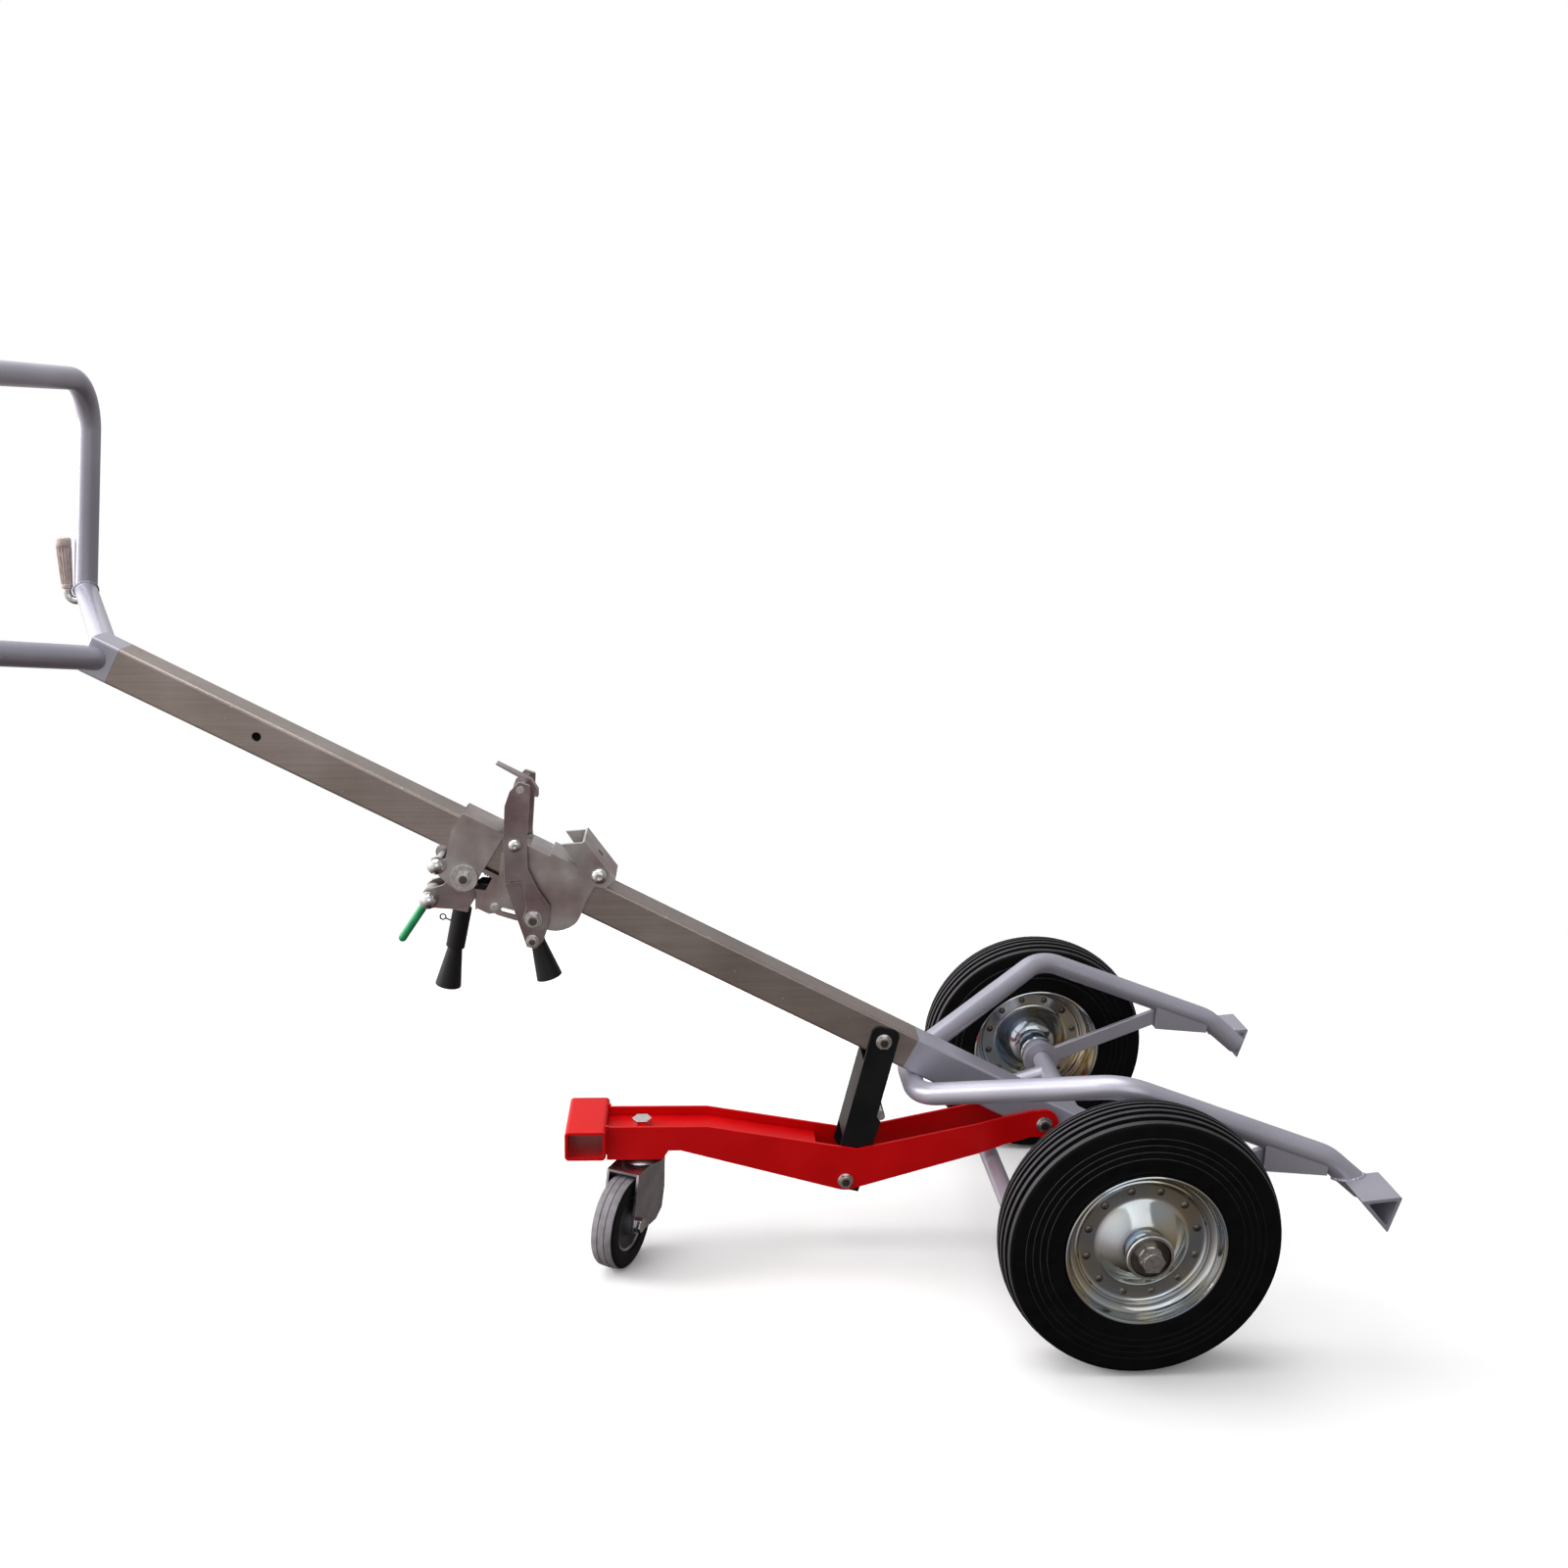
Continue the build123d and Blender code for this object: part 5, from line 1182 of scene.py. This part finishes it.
class TRUCK_OT_stand(bpy.types.Operator):
    """Red castor stand with its pedal and pin, the strut that props it and their bolts"""

    bl_idname = "truck.stand"
    bl_label = "Castor stand"

    def pedal_welds(self):
        """Upright bead on each side of the pedal's back."""
        corner = Vector((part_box("stand_pedal")[1][0], 0, middle("stand_pedal").z))
        half_width, half_height = 24.4, 15
        seams = []
        for side in (-1, 1):
            heights = range(-half_height, half_height + 1)
            rise = [corner + Vector((0.4, side * half_width, height)) * MM for height in heights]
            seams.append(bead(rise, radius_mm=1.5, closed=False))
        return joined(*seams)

    def execute(self, context):
        for part in ("side_left", "side_right", "web", "pedal"):
            softened("stand_" + part)
        for node in ("prop_strut", "strut_latch", "castor_head", "castor_kingpin"):
            softened(node)
        install(self.pedal_welds(), "pedal_welds", "stand", ["red_paint"])
        seat = half_size("knee_pin").y / MM - 5.5
        sizes = {**M8, "height": 4.3, "washer": 15.5, "washer_thick": 0.6, "proud": 0.6}
        pin = cross_bolts(middle("knee_pin"), seat, **sizes)
        install(pin, "knee_pin_piece", "stand", FASTENER, ["knee_pin"])
        sizes = {**M8, "height": 4.1, "washer": 16.0, "washer_thick": 0.6, "proud": 0.8}
        stand = cross_bolts(pivot("stand_fold"), seat=21.1, **sizes)
        strut = cross_bolts(pivot("strut_swing"), seat=20.8, **sizes)
        install(joined(stand, strut), "linkage_bolts_piece", "frame", FASTENER, ["linkage_bolts"])
        return {"FINISHED"}


class TRUCK_OT_castor(bpy.types.Operator):
    """Castor fork, axle, core and tyre"""

    bl_idname = "truck.castor"
    bl_label = "Castor"

    def execute(self, context):
        softened("castor_fork", "fork_zinc")
        softened("castor_axle")
        axis = Vector(JOINTS["castor_spin"]["axis"]).normalized()
        centre = pivot("castor_spin")
        outer = half_size("castor_tyre").z / MM
        core = half_size("castor_core").z / MM
        half = 12.5
        tread_half = 9.5
        groove = 3.6
        profile = [(core, -half + 2.5), (core + 1.5, -half + 0.5), (outer - 7.0, -half)]
        profile += [(outer - 3.6, -half + 0.9), (outer - 1.5, -tread_half - 1.1)]
        side_points = len(profile)
        profile += [(outer - 0.8, -tread_half), (outer - 0.2, -groove - 0.7), (outer - 1.2, -groove - 0.3)]
        profile += [(outer - 1.2, -groove + 0.3), (outer - 0.1, -groove + 0.7)]
        profile += [(r, -h) for r, h in reversed(profile[side_points:])]
        tread_points = len(profile) - side_points
        profile += [(r, -h) for r, h in reversed(profile[:side_points])]
        groups = [1] * (side_points - 1) + [0] * (tread_points + 1) + [1] * side_points
        mesh = turned(profile, centre, axis, steps=128, groups=groups)
        install(mesh, "castor_tyre_piece", "castor_wheel", ["grey_rubber", "castor_side"], ["castor_tyre"])
        bore = 4.05
        hub = 11.0
        hub_half = 14.7
        rim = [(bore, -hub_half), (hub - 1.0, -hub_half), (hub, -hub_half + 1.0), (hub + 0.8, -6.0)]
        rim += [(hub + 3.0, -4.6), (core - 6.5, -4.6), (core - 4.6, -6.0), (core - 3.4, -8.8)]
        rim += [(core - 2.4, -9.7), (core - 0.8, -9.9), (core - 0.05, -9.2)]
        shades = [0] * 7 + [1] * 3 + [0] + [1] * 3 + [0] * 8
        rim += [(r, -h) for r, h in reversed(rim)]
        mesh = turned(rim, centre, axis, steps=96, groups=shades)
        finishes = ["castor_core", "fork_zinc"]
        install(mesh, "castor_core_piece", "castor_wheel", finishes, ["castor_core"])
        return {"FINISHED"}


class TRUCK_OT_clamp(bpy.types.Operator):
    """Saddles of the rim clamp with their bolts, roller and spring"""

    bl_idname = "truck.clamp"
    bl_label = "Rim clamp"

    def bolts(self):
        """Bolts of the pump lever, the hook and the ears, and the jaw's pin with its button heads."""
        wide = {"height": 5.0, "washer": 26.0, "washer_thick": 2.0, "proud": 0.5}
        lever = cross_bolts(pivot("pump_stroke"), seat=21.0, **M8, **wide)
        high = {"height": 5.3, "washer": 17.0, "washer_thick": 1.2, "proud": 1.0}
        hook = cross_bolts(pivot("hook_open"), seat=27.6, **M8, **high)
        small = {"height": 1.9, "washer": 9.0, "washer_thick": 0.6, "proud": -0.6}
        ear = cross_bolts(EAR_BOLT, seat=21.0, flats=7.0, bolt=3.0, **small)
        jaw_pin = pivot("jaw_tilt")
        seat = 24.6
        heads = button_heads(jaw_pin, seat, radius=7.6, height=5.3, socket=2.6)
        return joined(lever, hook, ear, heads, shank(jaw_pin, radius=4.0, reach=seat))

    def spring(self):
        """Small dark spring that lies along the mast."""
        values = {"Radius": 3.4 * MM, "Length": 15.0 * MM, "Wire": 0.8 * MM}
        values.update({"Turns": 6.0, "Material": finish_of("black_paint")})
        coil = grown(tree_of("coil"), seats([(Vector(), UP)]), values)
        turn = UP.rotation_difference(ALONG).to_matrix().to_4x4()
        coil.transform(Matrix.Translation(SPRING_END) @ turn)
        return coil

    def execute(self, context):
        # Saddle edges in bright zinc: partly bright cut edges, partly a painted highlight
        softened("upper_saddle", highlight_edge_finish="bolt_zinc")
        slot = prism(stadium((618.0, -50.0), (606.0, -47.5), radius=2.2), side_low=-30.0, side_high=30.0)
        softened("lower_saddle", highlight_edge_finish="bolt_zinc", cutter=slot)
        softened("saddle_link")
        outline = ((640.0, -42.0), (652.0, -46.0), (652.0, -57.0), (650.0, -57.0), (646.0, -54.0))
        outline += ((644.6, -56.6), (641.2, -63.5), (640.0, -63.5))
        tails = twin_plates(outline, inner=12.4, outer=14.4)
        install(tails, "link_tails", "carriage", ["clamp_zinc"])
        # Black plates inside the saddle link, where the link is in shade: painted shade
        outline = ((653.0, -48.6), (648.8, -40.5), (635.7, -34.6), (635.8, -41.8), (650.0, -48.2))
        stops = twin_plates(outline, inner=10.2, outer=12.2)
        install(stops, "link_shade_plates", "carriage", ["black_paint"])
        install(self.bolts(), "clamp_bolts_piece", "carriage", FASTENER, ["clamp_bolts"])
        ball_knobs("roller_rod", "carriage")
        install(self.spring(), "clamp_spring", "carriage", ["black_paint"])
        return {"FINISHED"}

class TRUCK_OT_levers(bpy.types.Operator):
    """Pump lever with its grip and clip, and the green release lever"""

    bl_idname = "truck.levers"
    bl_label = "Levers"

    def execute(self, context):
        # Pump plates in a darker copy of the clamp zinc as painted shade; their bright edges are partly a
        # painted highlight
        softened("pump_plates", "shaded_arm_zinc", "bolt_zinc")
        for node in ("pump_socket", "pump_grip"):
            softened(node)
        ball_knobs("pump_rod", "pump_lever")
        pin = pivot("release_pull")
        bare_mm = 15
        softened(
            "release_lever",
            bare=lambda place: (Vector((place.x, 0, place.z)) - pin).length < bare_mm * MM,
        )
        wire = 0.7
        ring = 2.7
        tip = ring + 6.0
        loop = turned(arc((ring, 0.0), wire, start=0, end=330, steps=11), CLIP_EYE, SIDE, steps=36)
        stem = [(0.0, ring), (wire, ring), (wire, tip), (0.0, tip)]
        mesh = joined(loop, turned(stem, CLIP_EYE, -ALONG, steps=12, closed=False))
        install(mesh, "grip_clip", "pump_lever", ["black_paint"])
        return {"FINISHED"}


class TRUCK_OT_hook(bpy.types.Operator):
    """Hook arms with claws and grip, and the support jaw"""

    bl_idname = "truck.hook"
    bl_label = "Hook and jaw"

    def execute(self, context):
        # Hook arms in a darker copy of the clamp zinc as painted shade; their bright edges are partly a
        # painted highlight
        for side in ("left", "right"):
            softened("hook_arm_" + side, "shaded_arm_zinc", "bolt_zinc")
        for node in ("claw_rod", "rim_claws", "hook_grip"):
            softened(node)
        outline = ((557.0, 28.0), (563.0, 28.0), (563.0, 44.0), (557.0, 44.0))
        hole = prism(outline, side_low=-4.0, side_high=4.0)
        # Jaw edges in bright zinc: partly bright cut edges, partly a painted highlight
        softened("support_jaw", highlight_edge_finish="bolt_zinc", cutter=hole)
        body = frame["nodes"]["toe_bolt"]["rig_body"]
        sizes = {**M6, "height": 4.2, "washer": 12.5, "washer_thick": 0.8, "proud": 0.5}
        toe = cross_bolts(TOE_BOLT, seat=23.8, **sizes)
        install(toe, "toe_bolt_piece", body, FASTENER, ["toe_bolt"])
        studs = button_heads(ARM_STUD, seat=27.35, radius=6.2, height=4.2, socket=1.6)
        install(studs, "hook_arm_studs", body, ["bolt_zinc"])
        return {"FINISHED"}


class TRUCK_PT_sidebar(bpy.types.Panel):
    """Steps of the drum truck"""

    bl_idname = "TRUCK_PT_sidebar"
    bl_label = "Drum truck"
    bl_space_type = "VIEW_3D"
    bl_region_type = "UI"
    bl_category = "Drum truck"

    def draw(self, context):
        column = self.layout.column()
        for group in (context.scene.truck_sizes, context.scene.truck_studio):
            for name in group.__annotations__:
                column.prop(group, name)
        for step in STEPS:
            column.operator(step.bl_idname)


STEPS = (
    TRUCK_OT_stage,
    TRUCK_OT_frame,
    TRUCK_OT_welds,
    TRUCK_OT_peg_grip,
    TRUCK_OT_wheels,
    TRUCK_OT_stand,
    TRUCK_OT_castor,
    TRUCK_OT_clamp,
    TRUCK_OT_levers,
    TRUCK_OT_hook,
)
CLASSES = (TruckSizes, TruckStudio, *STEPS, TRUCK_PT_sidebar)


def register():
    for made in CLASSES:
        bpy.utils.register_class(made)
    bpy.types.Scene.truck_sizes = PointerProperty(type=TruckSizes)
    bpy.types.Scene.truck_studio = PointerProperty(type=TruckStudio)


def unregister():
    del bpy.types.Scene.truck_sizes
    del bpy.types.Scene.truck_studio
    for made in reversed(CLASSES):
        bpy.utils.unregister_class(made)


def main():
    register()
    bpy.ops.truck.stage()
    bpy.ops.truck.frame()
    bpy.ops.truck.welds()
    bpy.ops.truck.peg_grip()
    bpy.ops.truck.wheels()
    bpy.ops.truck.stand()
    bpy.ops.truck.castor()
    bpy.ops.truck.clamp()
    bpy.ops.truck.levers()
    bpy.ops.truck.hook()


if __name__ == "__main__":
    main()
